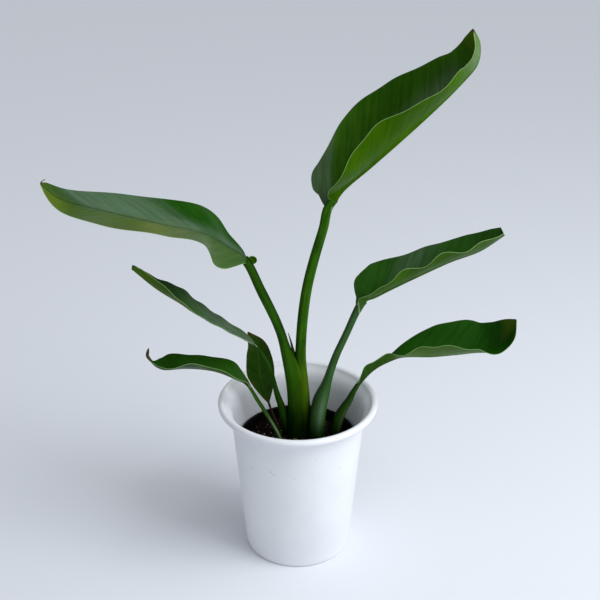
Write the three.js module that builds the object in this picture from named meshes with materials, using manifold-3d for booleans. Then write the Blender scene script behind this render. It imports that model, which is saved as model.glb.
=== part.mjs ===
// Potted bird of paradise: seven leaves and a rolled new leaf in a black nursery pot,
// which stands inside a smooth white cover pot with a rolled rim.
// Millimetres, +Z up, origin at the centre of the cover pot's underside.
import * as THREE from "three";
import { mergeVertices } from "three/addons/utils/BufferGeometryUtils.js";
import Module from "manifold-3d";

const wasm = await Module();
wasm.setup();

// Cover pot
const POT_HEIGHT = 148;
const POT_BASE_RADIUS = 47;
const POT_WALL_TOP_RADIUS = 58.5;
const POT_WALL_TOP = 133;
const POT_RIM_RADIUS = 67;
const POT_BEAD_RADIUS = 3;
const POT_WALL = 1.8;
const POT_FLOOR = 2.5;
const POT_SEGMENTS = 56;

// Nursery pot
const LINER_RIM_RADIUS = 52;
const LINER_BASE_RADIUS = 38;
const LINER_RIM_Z = 110;
const LINER_WALL = 1.2;
const LINER_LIP = 6;
const LINER_SEGMENTS = 40;
const DRAIN_RADIUS = 5;
const DRAIN_CIRCLE = 24;
const DRAIN_COUNT = 4;

// Soil
const SOIL_EDGE_Z = 101;
const SOIL_CROWN = 3.5;
const SOIL_SEGMENTS = 40;

// Gap left between pieces that touch in the real plant
const GAP = 0.3;

// Leaves
const STALK_SIDES = 12;
const STALK_STATIONS = 14;
const BLADE_STATIONS = 21;
const BLADE_ACROSS = [-1, -0.75, -0.45, -0.15, 0, 0.15, 0.45, 0.75, 1];
const BLADE_THICKNESS = 1;
const TIP_LAG = 0.6;
const FAR_RIPPLE_SHARE = 0.5;
const FAR_RIPPLE_SHIFT = 0.35;
const RIB_WIDTH = 2.6;
const RIB_TAPER = [[0, 0.8], [0.08, 0.5], [0.3, 0.36], [0.7, 0.2], [1, 0.04]];

// Each leaf is a stalk that runs on into the midrib of its blade.
// stalk and midrib are points on that one curve; radius is the stalk's from soil to blade;
// squash is the stalk's depth over its width; width is the half-width along the blade;
// near and far are the angles in degrees at which the two halves rise from the midrib;
// wave is the height in mm, the number and the phase of the ripples of the near edge;
// lobe is how far the two halves reach back past the stalk; cup is the curl of each half in degrees.
const LEAVES = [
  {
    name: "tall",
    stalk: [[6, 9, 98], [4, 9, 146], [3, 8, 192], [8, 7, 249], [20, 6, 305]],
    midrib: [
      [27, 5, 333], [62, 0, 367], [102, -5, 407], [129, -9, 437],
      [137, -11, 449], [137, -13, 463], [130, -14, 474],
    ],
    radius: [5, 4.8, 4.3, 3.8, 3.6, 4.6],
    squash: 0.9,
    width: [
      [0, 4], [0.03, 25], [0.08, 33], [0.14, 36], [0.25, 43], [0.38, 44], [0.5, 41],
      [0.62, 35], [0.75, 28], [0.84, 21.5], [0.9, 16.5], [0.95, 10.5], [1, 0.6],
    ],
    near: [
      [0, 20], [0.17, 22], [0.33, 35], [0.5, 34], [0.67, 22], [0.83, 24], [0.93, 15], [1, 10],
    ],
    far: [[0, 80], [0.17, 78], [0.33, 74], [0.83, 70], [1, 60]],
    roll: 0,
    wave: [1.2, 5, 0.1],
    lobe: 4,
    cup: 25,
    colour: 0x1f5a16,
    stalkColour: 0x1f5c17,
  },
  {
    name: "high_left",
    stalk: [[-3, 7, 98], [-4, 6, 153], [-10, 4, 194], [-18, 1, 220], [-30, -2, 253]],
    midrib: [
      [-40, -5, 283], [-57, -6, 296], [-78, -8, 309], [-110, -10, 317],
      [-156, -13, 330], [-186, -15, 340], [-200, -17, 354],
    ],
    radius: [5.6, 5.6, 5.4, 4.6, 4.3, 4.2],
    squash: 0.9,
    width: [
      [0, 4], [0.05, 18], [0.12, 31], [0.25, 40], [0.4, 41], [0.55, 40],
      [0.68, 37], [0.8, 31], [0.9, 22], [0.96, 13], [1, 0.6],
    ],
    near: [[0, -22], [0.1, -18], [0.17, -11], [0.25, 9], [0.4, 11], [0.55, 8], [0.75, 3], [1, 0]],
    far: [[0, -10], [0.1, -2], [0.18, 8], [0.28, 11], [0.5, 7], [0.67, 3], [0.83, 0], [1, -3]],
    roll: 0,
    wave: [1, 4, 0.3],
    lobe: 0,
    cup: 12,
    colour: 0x2f6b35,
    stalkColour: 0x246319,
  },
  {
    name: "mid_left",
    stalk: [[-9, 11, 98], [-12, 9, 126], [-18, 5, 150], [-22, 1, 172], [-28, -2, 190]],
    midrib: [[-36, -5, 204], [-53, -8, 217], [-81, -13, 238], [-112, -18, 261], [-134, -20, 282]],
    radius: [4.2, 4.2, 3.2, 2.1, 2, 2],
    squash: 0.9,
    width: [
      [0, 2], [0.06, 10], [0.15, 15], [0.3, 18], [0.5, 20], [0.65, 19],
      [0.8, 15], [0.92, 9], [1, 2],
    ],
    near: [[0, 18], [0.17, 16], [0.33, 16], [0.5, 22], [0.67, 45], [0.83, 60], [1, 60]],
    far: [[0, 8], [0.17, 6], [0.33, 6], [0.5, 9], [0.67, 14], [0.83, 14], [1, 8]],
    roll: 0,
    wave: [1, 4, 0],
    lobe: 0,
    cup: 20,
    colour: 0x2c6230,
    stalkColour: 0x1d5416,
  },
  {
    name: "low_left",
    stalk: [[-13, 3, 98], [-19, 2, 114], [-27, -1, 132], [-35, -4, 149]],
    midrib: [
      [-43, -8, 167], [-53, -10, 174], [-68, -12, 182], [-83, -14, 186], [-97, -15, 187],
      [-112, -17, 187], [-119, -18, 190], [-123, -19, 196], [-126, -20, 201], [-125, -21, 210],
    ],
    radius: [2.4, 2.2, 2, 1.9, 1.9],
    squash: 0.9,
    width: [
      [0, 1.8], [0.06, 10], [0.15, 15], [0.3, 17], [0.5, 16.5], [0.62, 15.5],
      [0.72, 13], [0.8, 8], [0.87, 3.5], [0.93, 2.5], [1, 0.6],
    ],
    near: [[0, 35], [0.17, 40], [0.33, 44], [0.5, 40], [0.67, 32], [0.83, 28], [1, 20]],
    far: [[0, 45], [0.17, 36], [0.33, 20], [0.5, 17], [0.67, 30], [0.83, 20], [1, 10]],
    roll: 0,
    wave: [0.8, 4, 0.2],
    lobe: 0,
    cup: 20,
    colour: 0x24601a,
    stalkColour: 0x2d6a20,
  },
  {
    name: "small",
    stalk: [[-15, 9, 98], [-16, 9, 108], [-22, 9, 125]],
    midrib: [
      [-26, 10, 138], [-30, 11, 153], [-33, 12, 167], [-34, 13, 182], [-36, 14, 194], [-43, 15, 206],
    ],
    radius: [1, 0.9, 0.9, 1],
    squash: 1,
    width: [
      [0, 1], [0.12, 5], [0.25, 9], [0.4, 12.5], [0.55, 13], [0.7, 12], [0.85, 7.5],
      [0.95, 3], [1, 0.6],
    ],
    near: [[0, 20], [1, 5]],
    far: [[0, 20], [1, 5]],
    roll: 80,
    wave: [0, 3, 0],
    lobe: 0,
    cup: 15,
    colour: 0x2a5f12,
    stalkColour: 0x6b5a3a,
  },
  {
    name: "mid_right",
    stalk: [[17, 3, 98], [17, 3, 118], [20, 3, 141], [26, 2, 163], [34, 2, 187], [42, 1, 211]],
    midrib: [[53, 0, 243], [66, -1, 250], [96, -2, 266], [125, -3, 281], [149, -4, 291], [168, -5, 305]],
    radius: [6.8, 6.8, 6.5, 4.2, 3, 2.4, 4.6],
    squash: 0.75,
    width: [
      [0, 4], [0.04, 13], [0.1, 21], [0.2, 25], [0.35, 25], [0.5, 24],
      [0.65, 22], [0.8, 17], [0.92, 12], [1, 7],
    ],
    near: [[0, 38], [1, 38]],
    far: [[0, 60], [0.17, 54], [0.33, 42], [0.5, 38], [0.67, 36], [0.83, 40], [1, 40]],
    roll: 0,
    wave: [3.5, 3.7, 0.2],
    lobe: 2,
    cup: 30,
    colour: 0x265e22,
    stalkColour: 0x2c6a2b,
  },
  {
    name: "low_right",
    stalk: [[33, 11, 98], [38, 10, 124], [44, 8, 141], [49, 6, 153]],
    midrib: [
      [55, 5, 163], [67, 4, 176], [80, 2, 185], [92, 0, 190], [114, -2, 191], [131, -3, 193],
      [147, -3, 195], [163, -4, 198], [175, -5, 207], [181, -6, 217], [184, -6, 228],
    ],
    radius: [4, 3.6, 3, 2.4, 2.2],
    squash: 0.85,
    width: [
      [0, 2], [0.08, 6], [0.2, 8], [0.28, 12], [0.4, 24], [0.52, 28],
      [0.65, 29], [0.75, 27], [0.85, 22], [0.93, 14], [1, 1],
    ],
    near: [
      [0, 60], [0.12, 78], [0.22, 70], [0.29, 36], [0.38, 48],
      [0.5, 46], [0.65, 35], [0.75, 27], [0.85, 5], [1, -10],
    ],
    far: [[0, 10], [0.2, 10], [0.3, 30], [0.4, 48], [0.55, 52], [0.75, 50], [1, 50]],
    roll: 0,
    wave: [1, 6, 0],
    lobe: 0,
    cup: 20,
    colour: 0x1b5a10,
    stalkColour: 0x1c4f14,
  },
];

// Rolled new leaf between the stalks of the two tallest leaves
const SPEAR_PATH = [[-2, 9, 150], [-2, 8, 180], [-5, 7, 197], [-8, 7, 209]];
const SPEAR_RADIUS = [[0, 1.9], [0.5, 1.7], [0.8, 1], [1, 0.35]];
const SPEAR_COLOUR = 0x1c3d14;

const WHITE_PLASTIC = { color: 0xeef1f6, roughness: 0.42, metalness: 0 };
const BLACK_PLASTIC = { color: 0x15161a, roughness: 0.5, metalness: 0 };
const SOIL = { color: 0x2a1d17, roughness: 0.95, metalness: 0 };
const LEAF_ROUGHNESS = 0.38;

const group = new THREE.Group();
group.name = "potted_bird_of_paradise";

// A smooth curve of value over position through [position, value] pairs.
function along(pairs, u) {
  const last = pairs.length - 1;
  let i = 0;
  while (i < last - 1 && u >= pairs[i + 1][0]) i += 1;
  const slope = (k) => {
    const a = pairs[Math.max(k - 1, 0)];
    const b = pairs[Math.min(k + 1, last)];
    return (b[1] - a[1]) / (b[0] - a[0]);
  };
  const h = pairs[i + 1][0] - pairs[i][0];
  const t = (u - pairs[i][0]) / h;
  const start = pairs[i][1] * (2 * t ** 3 - 3 * t ** 2 + 1);
  const end = pairs[i + 1][1] * (3 * t ** 2 - 2 * t ** 3);
  const bendIn = slope(i) * h * (t ** 3 - 2 * t ** 2 + t);
  const bendOut = slope(i + 1) * h * (t ** 3 - t ** 2);
  return start + end + bendIn + bendOut;
}

// Values spread evenly from 0 to 1, as pairs for along().
function evenly(values) {
  return values.map((value, i) => [i / (values.length - 1), value]);
}

function curveThrough(points) {
  const vectors = points.map((p) => new THREE.Vector3(...p));
  const curve = new THREE.CatmullRomCurve3(vectors, false, "catmullrom", 0.5);
  curve.arcLengthDivisions = 400;
  return curve;
}

// A closed solid from rings of points: equal-sized rings, joined one to the next and capped.
function solidFromRings(rings) {
  const size = rings[0].length;
  const positions = rings.flat().flatMap((p) => [p.x, p.y, p.z]);
  const index = [];
  for (let i = 0; i < rings.length - 1; i += 1) {
    for (let j = 0; j < size; j += 1) {
      const a = i * size + j;
      const b = i * size + ((j + 1) % size);
      index.push(a, b, b + size, a, b + size, a + size);
    }
  }
  const end = (rings.length - 1) * size;
  for (let j = 1; j < size / 2; j += 1) {
    const k = size - j;
    index.push(j - 1, k, j, j, k, k - 1);
    index.push(end + j - 1, end + j, end + k, end + j, end + k - 1, end + k);
  }
  const geometry = new THREE.BufferGeometry();
  geometry.setAttribute("position", new THREE.Float32BufferAttribute(positions, 3));
  geometry.setIndex(index.filter((v, i, all) => keepsArea(all, i)));
  return geometry;
}

// A cap triangle that uses one corner twice is left out.
function keepsArea(index, i) {
  const first = i - (i % 3);
  const [a, b, c] = [index[first], index[first + 1], index[first + 2]];
  return a !== b && b !== c && a !== c;
}

function toSolid(geometry) {
  const bare = geometry.clone();
  bare.deleteAttribute("normal");
  bare.deleteAttribute("uv");
  const merged = mergeVertices(bare, 1e-4);
  return new wasm.Manifold(
    new wasm.Mesh({
      numProp: 3,
      vertProperties: new Float32Array(merged.attributes.position.array),
      triVerts: new Uint32Array(merged.index.array),
    }),
  );
}

function toGeometry(solid) {
  const mesh = solid.getMesh();
  const geometry = new THREE.BufferGeometry();
  geometry.setAttribute("position", new THREE.BufferAttribute(mesh.vertProperties, 3));
  geometry.setIndex(new THREE.BufferAttribute(mesh.triVerts, 1));
  return geometry;
}

function cut(solid, tools) {
  return tools.reduce((left, tool) => left.subtract(tool), solid);
}

function addMesh(name, geometry, look) {
  geometry.computeVertexNormals();
  const mesh = new THREE.Mesh(geometry, new THREE.MeshStandardMaterial(look));
  mesh.name = name;
  group.add(mesh);
}

// Straight line from the foot of a blade's midrib to its tip.
function chordOf(leaf) {
  const foot = new THREE.Vector3(...leaf.midrib[0]);
  const tip = new THREE.Vector3(...leaf.midrib[leaf.midrib.length - 1]);
  return tip.sub(foot).normalize();
}

// Side and up directions of a leaf, seen from the front, square to the given direction.
function leafAxes(leaf, direction) {
  const chord = chordOf(leaf);
  const side = new THREE.Vector3(chord.y, -chord.x, 0).normalize();
  if (side.y > 0) side.negate();
  side.addScaledVector(direction, -side.dot(direction)).normalize();
  const up = new THREE.Vector3().crossVectors(side, direction);
  if (chord.x < 0) up.negate();
  const roll = THREE.MathUtils.degToRad(leaf.roll);
  const turnedSide = side.clone().multiplyScalar(Math.cos(roll)).addScaledVector(up, -Math.sin(roll));
  const turnedUp = up.multiplyScalar(Math.cos(roll)).addScaledVector(side, Math.sin(roll));
  return { side: turnedSide, up: turnedUp };
}

// Share of a leaf's curve, by length, that belongs to the stalk.
function stalkShare(leaf, curve) {
  const pieces = leaf.stalk.length + leaf.midrib.length - 1;
  const lengths = curve.getLengths(400);
  return lengths[Math.round((400 * leaf.stalk.length) / pieces)] / lengths[400];
}

// Stalk: an oval tube along the curve, wider by grow all round and longer by grow at its foot.
function stalkGeometry(leaf, grow) {
  const curve = curveThrough([...leaf.stalk, ...leaf.midrib]);
  const end = stalkShare(leaf, curve) - GAP / 2 / curve.getLength();
  const radii = evenly(leaf.radius);
  const rings = [];
  for (let i = 0; i < STALK_STATIONS; i += 1) {
    const t = i / (STALK_STATIONS - 1);
    const centre = curve.getPointAt(t * end);
    const tangent = curve.getTangentAt(t * end);
    if (i === 0) centre.addScaledVector(tangent, -grow);
    const { side, up } = leafAxes(leaf, tangent);
    const radius = along(radii, t);
    const ring = [];
    for (let j = 0; j < STALK_SIDES; j += 1) {
      const angle = (2 * Math.PI * j) / STALK_SIDES;
      const point = centre.clone();
      point.addScaledVector(side, (radius * leaf.squash + grow) * Math.cos(angle));
      point.addScaledVector(up, (radius + grow) * Math.sin(angle));
      ring.push(point);
    }
    rings.push(ring);
  }
  return facingOut(solidFromRings(rings));
}

// Blade: two curved halves that rise from the midrib, a thin skin with a rib below.
function bladeGeometry(leaf) {
  const curve = curveThrough([...leaf.stalk, ...leaf.midrib]);
  const share = stalkShare(leaf, curve) + GAP / 2 / curve.getLength();
  const reach = leaf.radius[leaf.radius.length - 1];
  const rows = [];
  for (let i = 0; i < BLADE_STATIONS; i += 1) {
    const u = closerAtEnds(i / (BLADE_STATIONS - 1));
    const at = share + (1 - share) * u;
    const centre = curve.getPointAt(at);
    const tangent = curve.getTangentAt(at);
    // Towards a hooked tip the sections turn less than the midrib does.
    const direction = tangent.clone().lerp(chordOf(leaf), TIP_LAG * u ** 6).normalize();
    const { side, up } = leafAxes(leaf, direction);
    const half = along(leaf.width, u);
    rows.push(
      BLADE_ACROSS.map((v) => {
        const [out, height] = acrossHalf(leaf, u, Math.abs(v), v > 0);
        const point = centre.clone();
        point.addScaledVector(side, Math.sign(v) * half * out);
        point.addScaledVector(up, half * height + ripple(leaf, u, v > 0) * v * v);
        point.addScaledVector(tangent, -leaf.lobe * v * v * (1 - u) ** 6);
        return { point, rib: ribDepth(u, half * v, reach), half };
      }),
    );
  }
  return facingOut(skinAround(rows, leaf));
}

// Stations from 0 to 1 that stand half as far apart at both ends as even ones.
function closerAtEnds(t) {
  return t / 2 + (1 - Math.cos(Math.PI * t)) / 4;
}

// Distance out and height, per mm of half-width, of a half that rises at the given angle
// and curls by cup degrees between the midrib and its edge.
function acrossHalf(leaf, u, v, near) {
  const rise = THREE.MathUtils.degToRad(along(near ? leaf.near : leaf.far, u));
  const cup = THREE.MathUtils.degToRad(leaf.cup);
  const first = rise - cup / 2;
  const last = first + cup * v;
  return [(Math.sin(last) - Math.sin(first)) / cup, (Math.cos(first) - Math.cos(last)) / cup];
}

// Height of the ripples along an edge; the far edge has lower ones.
function ripple(leaf, u, near) {
  const [height, count, phase] = leaf.wave;
  const swell = Math.sqrt(Math.max(Math.sin(Math.PI * u), 0));
  const turn = near ? phase : phase + FAR_RIPPLE_SHIFT;
  const share = near ? 1 : FAR_RIPPLE_SHARE;
  return share * height * swell * Math.sin(2 * Math.PI * (count * u + turn));
}

function ribDepth(u, distance, reach) {
  return reach * along(RIB_TAPER, u) * Math.exp(-((distance / RIB_WIDTH) ** 2));
}

// Rows of points thickened on both sides, each row closed to a ring.
function skinAround(rows, leaf) {
  const rightward = leaf.midrib[leaf.midrib.length - 1][0] > leaf.midrib[0][0];
  const rings = rows.map((row, i) => {
    const before = rows[Math.max(i - 1, 0)];
    const after = rows[Math.min(i + 1, rows.length - 1)];
    const upper = [];
    const lower = [];
    row.forEach(({ point, rib, half }, j) => {
      const lengthwise = after[j].point.clone().sub(before[j].point);
      const across = row[Math.min(j + 1, row.length - 1)].point.clone();
      across.sub(row[Math.max(j - 1, 0)].point);
      const normal = across.cross(lengthwise).normalize();
      if (!rightward) normal.negate();
      const skin = (BLADE_THICKNESS / 2) * Math.min(1, half / 4);
      upper.push(point.clone().addScaledVector(normal, skin));
      lower.unshift(point.clone().addScaledVector(normal, -skin - rib));
    });
    return [...upper, ...lower];
  });
  return solidFromRings(rings);
}

function facingOut(geometry) {
  if (toSolid(geometry).volume() > 0) return geometry;
  const index = geometry.getIndex();
  for (let i = 0; i < index.count; i += 3) {
    const first = index.getX(i);
    index.setX(i, index.getX(i + 1));
    index.setX(i + 1, first);
  }
  return geometry;
}

function spearGeometry(grow) {
  const curve = curveThrough(SPEAR_PATH);
  const rings = [];
  for (let i = 0; i < 9; i += 1) {
    const t = i / 8;
    const centre = curve.getPointAt(t);
    const radius = along(SPEAR_RADIUS, t) + grow;
    if (i === 0) centre.z -= grow;
    if (i === 8) centre.z += grow;
    const ring = [];
    for (let j = 0; j < 8; j += 1) {
      const angle = (2 * Math.PI * j) / 8;
      ring.push(
        new THREE.Vector3(
          centre.x + radius * Math.cos(angle),
          centre.y + radius * Math.sin(angle),
          centre.z,
        ),
      );
    }
    rings.push(ring);
  }
  return facingOut(solidFromRings(rings));
}

// A solid of revolution about the Z axis from a profile of [radius, z].
function turned(profile, segments) {
  const points = profile.map(([r, z]) => new THREE.Vector2(r, z));
  const geometry = new THREE.LatheGeometry(points, segments);
  geometry.rotateX(Math.PI / 2);
  return facingOut(geometry);
}

// Cover pot: flared wall that curls out into a hollow-looking bead at the rim.
function coverPotGeometry() {
  const beadZ = POT_HEIGHT - POT_BEAD_RADIUS;
  const profile = [
    [0, 0],
    [POT_BASE_RADIUS - 2.5, 0],
    [POT_BASE_RADIUS - 0.7, 0.7],
    [POT_BASE_RADIUS + 0.2, 2.5],
    [POT_WALL_TOP_RADIUS, POT_WALL_TOP],
    [POT_WALL_TOP_RADIUS + 1.2, POT_WALL_TOP + 4],
    [POT_WALL_TOP_RADIUS + 3.2, POT_WALL_TOP + 7],
    [POT_RIM_RADIUS - 2.6, beadZ - 2.2],
  ];
  for (let i = 0; i <= 6; i += 1) {
    const angle = THREE.MathUtils.degToRad(-100 + i * 45);
    const r = POT_RIM_RADIUS + POT_BEAD_RADIUS * Math.cos(angle);
    profile.push([r, beadZ + POT_BEAD_RADIUS * Math.sin(angle)]);
  }
  profile.push(
    [POT_WALL_TOP_RADIUS + 2, POT_WALL_TOP + 8.4],
    [POT_WALL_TOP_RADIUS - 0.6, POT_WALL_TOP + 4.8],
    [POT_WALL_TOP_RADIUS - POT_WALL, POT_WALL_TOP],
    [POT_BASE_RADIUS + 0.5 - POT_WALL, POT_FLOOR + 3],
    [POT_BASE_RADIUS - 1 - POT_WALL, POT_FLOOR + 0.6],
    [POT_BASE_RADIUS - 3 - POT_WALL, POT_FLOOR],
    [0, POT_FLOOR],
  );
  return turned(profile, POT_SEGMENTS);
}

function linerRadius(z) {
  const share = (z - POT_FLOOR) / (LINER_RIM_Z - POT_FLOOR);
  return LINER_BASE_RADIUS + (LINER_RIM_RADIUS - 1.5 - LINER_BASE_RADIUS) * share;
}

// Nursery pot: thin tapered wall with a short outer lip and drain holes in the floor.
function linerSolid() {
  const foot = POT_FLOOR + GAP;
  const floor = foot + LINER_WALL;
  const lipFoot = LINER_RIM_Z - LINER_LIP;
  const profile = [
    [0, foot],
    [linerRadius(foot) - 2, foot],
    [linerRadius(foot) - 0.4, foot + 1.2],
    [linerRadius(lipFoot) - 0.2, lipFoot],
    [LINER_RIM_RADIUS - 0.3, lipFoot + 0.4],
    [LINER_RIM_RADIUS, LINER_RIM_Z - 0.8],
    [LINER_RIM_RADIUS - 0.6, LINER_RIM_Z],
    [linerRadius(LINER_RIM_Z) - LINER_WALL, LINER_RIM_Z - 0.6],
    [linerRadius(floor + 2) - LINER_WALL, floor + 2],
    [linerRadius(floor) - LINER_WALL - 2, floor],
    [0, floor],
  ];
  const drains = [];
  for (let i = 0; i < DRAIN_COUNT; i += 1) {
    const angle = (2 * Math.PI * (i + 0.5)) / DRAIN_COUNT;
    const drain = new THREE.CylinderGeometry(DRAIN_RADIUS, DRAIN_RADIUS, 4, 10);
    drain.rotateX(Math.PI / 2);
    drain.translate(DRAIN_CIRCLE * Math.cos(angle), DRAIN_CIRCLE * Math.sin(angle), foot);
    drains.push(toSolid(drain));
  }
  return cut(toSolid(turned(profile, LINER_SEGMENTS)), drains);
}

// Soil: fills the nursery pot to just under its rim, slightly crowned round the stalks.
function soilGeometry() {
  const floor = POT_FLOOR + 2 * GAP + LINER_WALL;
  const inside = (z) => linerRadius(z) - LINER_WALL - GAP;
  const profile = [
    [0, floor],
    [inside(floor) - 2.4, floor],
    [inside(floor + 2.4), floor + 2.4],
    [inside(SOIL_EDGE_Z), SOIL_EDGE_Z],
    [inside(SOIL_EDGE_Z) - 4, SOIL_EDGE_Z + 0.8],
    [34, SOIL_EDGE_Z + SOIL_CROWN * 0.4],
    [22, SOIL_EDGE_Z + SOIL_CROWN * 0.8],
    [0, SOIL_EDGE_Z + SOIL_CROWN],
  ];
  return turned(profile, SOIL_SEGMENTS);
}

addMesh("cover_pot", coverPotGeometry(), WHITE_PLASTIC);
addMesh("nursery_pot", toGeometry(linerSolid()), BLACK_PLASTIC);

const swollen = {};
for (const leaf of LEAVES) {
  swollen[leaf.name] = toSolid(stalkGeometry(leaf, GAP));
}
const swollenSpear = toSolid(spearGeometry(GAP));

const soil = cut(toSolid(soilGeometry()), Object.values(swollen));
addMesh("potting_soil", toGeometry(soil), SOIL);

// Where sheaths press together at the foot of the plant, the inner one keeps its shape.
const PRESSED_BY = {
  high_left: [swollen.tall, swollenSpear],
  mid_left: [swollen.tall, swollen.high_left],
  small: [swollen.mid_left],
  mid_right: [swollen.tall],
};

for (const leaf of LEAVES) {
  const stalk = cut(toSolid(stalkGeometry(leaf, 0)), PRESSED_BY[leaf.name] ?? []);
  addMesh(`stalk_${leaf.name}`, toGeometry(stalk), {
    color: leaf.stalkColour,
    roughness: LEAF_ROUGHNESS,
    metalness: 0,
  });
  const blade = cut(toSolid(bladeGeometry(leaf)), [swollen[leaf.name]]);
  addMesh(`blade_${leaf.name}`, toGeometry(blade), {
    color: leaf.colour,
    roughness: LEAF_ROUGHNESS,
    metalness: 0,
  });
}

const spear = cut(toSolid(spearGeometry(0)), [swollen.tall]);
addMesh("rolled_new_leaf", toGeometry(spear), {
  color: SPEAR_COLOUR,
  roughness: LEAF_ROUGHNESS,
  metalness: 0,
});

export default group;
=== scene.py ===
import math

import bpy
import numpy as np
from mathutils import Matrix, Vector


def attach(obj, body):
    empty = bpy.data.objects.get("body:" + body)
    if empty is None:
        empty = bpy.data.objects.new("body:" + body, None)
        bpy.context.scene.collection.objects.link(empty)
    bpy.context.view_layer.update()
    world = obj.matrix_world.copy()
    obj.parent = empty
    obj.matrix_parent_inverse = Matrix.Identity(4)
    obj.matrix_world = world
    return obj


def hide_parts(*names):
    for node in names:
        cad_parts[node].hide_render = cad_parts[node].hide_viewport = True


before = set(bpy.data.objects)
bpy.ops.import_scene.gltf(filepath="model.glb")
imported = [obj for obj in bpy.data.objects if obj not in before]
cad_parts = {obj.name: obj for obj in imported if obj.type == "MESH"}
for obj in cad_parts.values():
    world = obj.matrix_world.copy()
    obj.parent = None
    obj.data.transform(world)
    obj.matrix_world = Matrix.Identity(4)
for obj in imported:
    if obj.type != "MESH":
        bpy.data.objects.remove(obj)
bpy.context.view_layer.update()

# Camera: a metre from the middle of the cover pot's rim, looking down on the plant from the
# front, far enough back to take in every leaf. Lengths in this file are in millimetres until
# a mesh or an object is made from them.
MM = 0.001
CAMERA_TARGET_Z = 148.0
CAMERA_DISTANCE = 1000.0
CAMERA_ELEVATION = math.radians(31.23)
CAMERA_PITCH = math.radians(26.29)
CAMERA_YAW = math.radians(-0.134)
CAMERA_LENS = 68.2
CAMERA_SENSOR = 36.0
CAMERA_NEAREST = 50.0
CAMERA_FARTHEST = 500000.0

camera_data = bpy.data.cameras.new("camera")
camera_data.sensor_width = CAMERA_SENSOR
camera_data.lens = CAMERA_LENS
camera_data.clip_start = CAMERA_NEAREST * MM
camera_data.clip_end = CAMERA_FARTHEST * MM
camera = bpy.data.objects.new("camera", camera_data)
camera.location = (
    0.0,
    -CAMERA_DISTANCE * math.cos(CAMERA_ELEVATION) * MM,
    (CAMERA_TARGET_Z + CAMERA_DISTANCE * math.sin(CAMERA_ELEVATION)) * MM,
)
camera.rotation_euler = (math.pi / 2 - CAMERA_PITCH, 0.0, CAMERA_YAW)
bpy.context.collection.objects.link(camera)
bpy.context.scene.camera = camera

# Floor and light: one pale matt floor, a soft window close by on the right, a broad hazy sun
# from the same side, and an even cool sky that fills the shadows.
FLOOR_SIZE = 400000.0
FLOOR_COLOUR = (0.77, 0.79, 0.83, 1.0)
FLOOR_ROUGHNESS = 0.75
SKY_COLOUR = (0.9, 0.94, 1.0, 1.0)
SKY_STRENGTH = 0.46
LIGHT_COLOUR = (0.94, 0.97, 1.0)
LIGHT_TARGET = (0.0, 0.0, 150.0)
WINDOW_PLACE = (800.0, -400.0, 1000.0)
WINDOW_SIZE = 700.0
WINDOW_POWER = 9.0
SUN_PLACE = (620.0, -240.0, 750.0)
SUN_STRENGTH = 1.15
SUN_ANGLE = math.radians(70.0)


def add_mesh(name, points, polygons, material, spread=None):
    """A mesh object at the origin from points in millimetres and groups of equal-sized polygons;
    spread holds a value or a vector for each point, by attribute name. Faces are turned outwards:
    the summed volume of the cones from the origin to the faces has to be positive."""
    points = np.asarray(points, float).reshape(-1, 3)
    volume = 0.0
    for group in polygons:
        corners = points[group]
        for k in range(1, group.shape[1] - 1):
            crossed = np.cross(corners[:, k], corners[:, k + 1])
            volume += np.einsum("ij,ij->", corners[:, 0], crossed)
    if volume < 0:
        polygons = [group[:, ::-1] for group in polygons]
    sizes = np.concatenate([np.full(len(group), group.shape[1]) for group in polygons])
    loops = np.concatenate([group.ravel() for group in polygons])
    mesh = bpy.data.meshes.new(name)
    mesh.vertices.add(len(points))
    mesh.vertices.foreach_set("co", (points * MM).ravel())
    mesh.loops.add(len(loops))
    mesh.loops.foreach_set("vertex_index", loops)
    mesh.polygons.add(len(sizes))
    mesh.polygons.foreach_set("loop_start", np.cumsum(sizes) - sizes)
    mesh.polygons.foreach_set("use_smooth", np.ones(len(sizes), bool))
    mesh.update(calc_edges=True)
    mesh.validate()
    for key, values in (spread or {}).items():
        values = np.asarray(values, float)
        if values.ndim == 1:
            mesh.attributes.new(key, "FLOAT", "POINT").data.foreach_set("value", values)
        else:
            layer = mesh.attributes.new(key, "FLOAT_VECTOR", "POINT")
            layer.data.foreach_set("vector", values.ravel())
    mesh.materials.append(material)
    piece = bpy.data.objects.new(name, mesh)
    bpy.context.collection.objects.link(piece)
    return piece


def new_material(name, roughness=0.5, ior=1.5):
    """A material with one Principled shader of that roughness and index of refraction."""
    material = bpy.data.materials.new(name)
    material.use_nodes = True
    shader = material.node_tree.nodes["Principled BSDF"]
    shader.inputs["Roughness"].default_value = roughness
    shader.inputs["IOR"].default_value = ior
    return material


def give(tree, socket, value):
    """Feeds a socket from another one, or sets it to a constant."""
    if isinstance(value, bpy.types.NodeSocket):
        tree.links.new(value, socket)
    else:
        socket.default_value = value


def put(tree, kind, values=None, **settings):
    """A node of that kind in the tree: settings are its own properties, and values are its
    sockets' constants or the sockets that feed them, by name or number."""
    node = tree.nodes.new(kind)
    for key, value in settings.items():
        setattr(node, key, value)
    for key, value in (values or {}).items():
        give(tree, node.inputs[key], value)
    return node


def feed(material, height=None, **sockets):
    """Feeds a material's Principled shader. Each keyword is the name of one of its sockets, and
    height is a value for its bump, with the bump's strength and its depth in millimetres."""
    tree = material.node_tree
    shader = tree.nodes["Principled BSDF"]
    for key, value in sockets.items():
        give(tree, shader.inputs[key.replace("_", " ").title()], value)
    if height:
        value, strength, depth = height
        values = {"Height": value, "Strength": strength, "Distance": depth * MM}
        bump = put(tree, "ShaderNodeBump", values)
        tree.links.new(bump.outputs[0], shader.inputs["Normal"])


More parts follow.
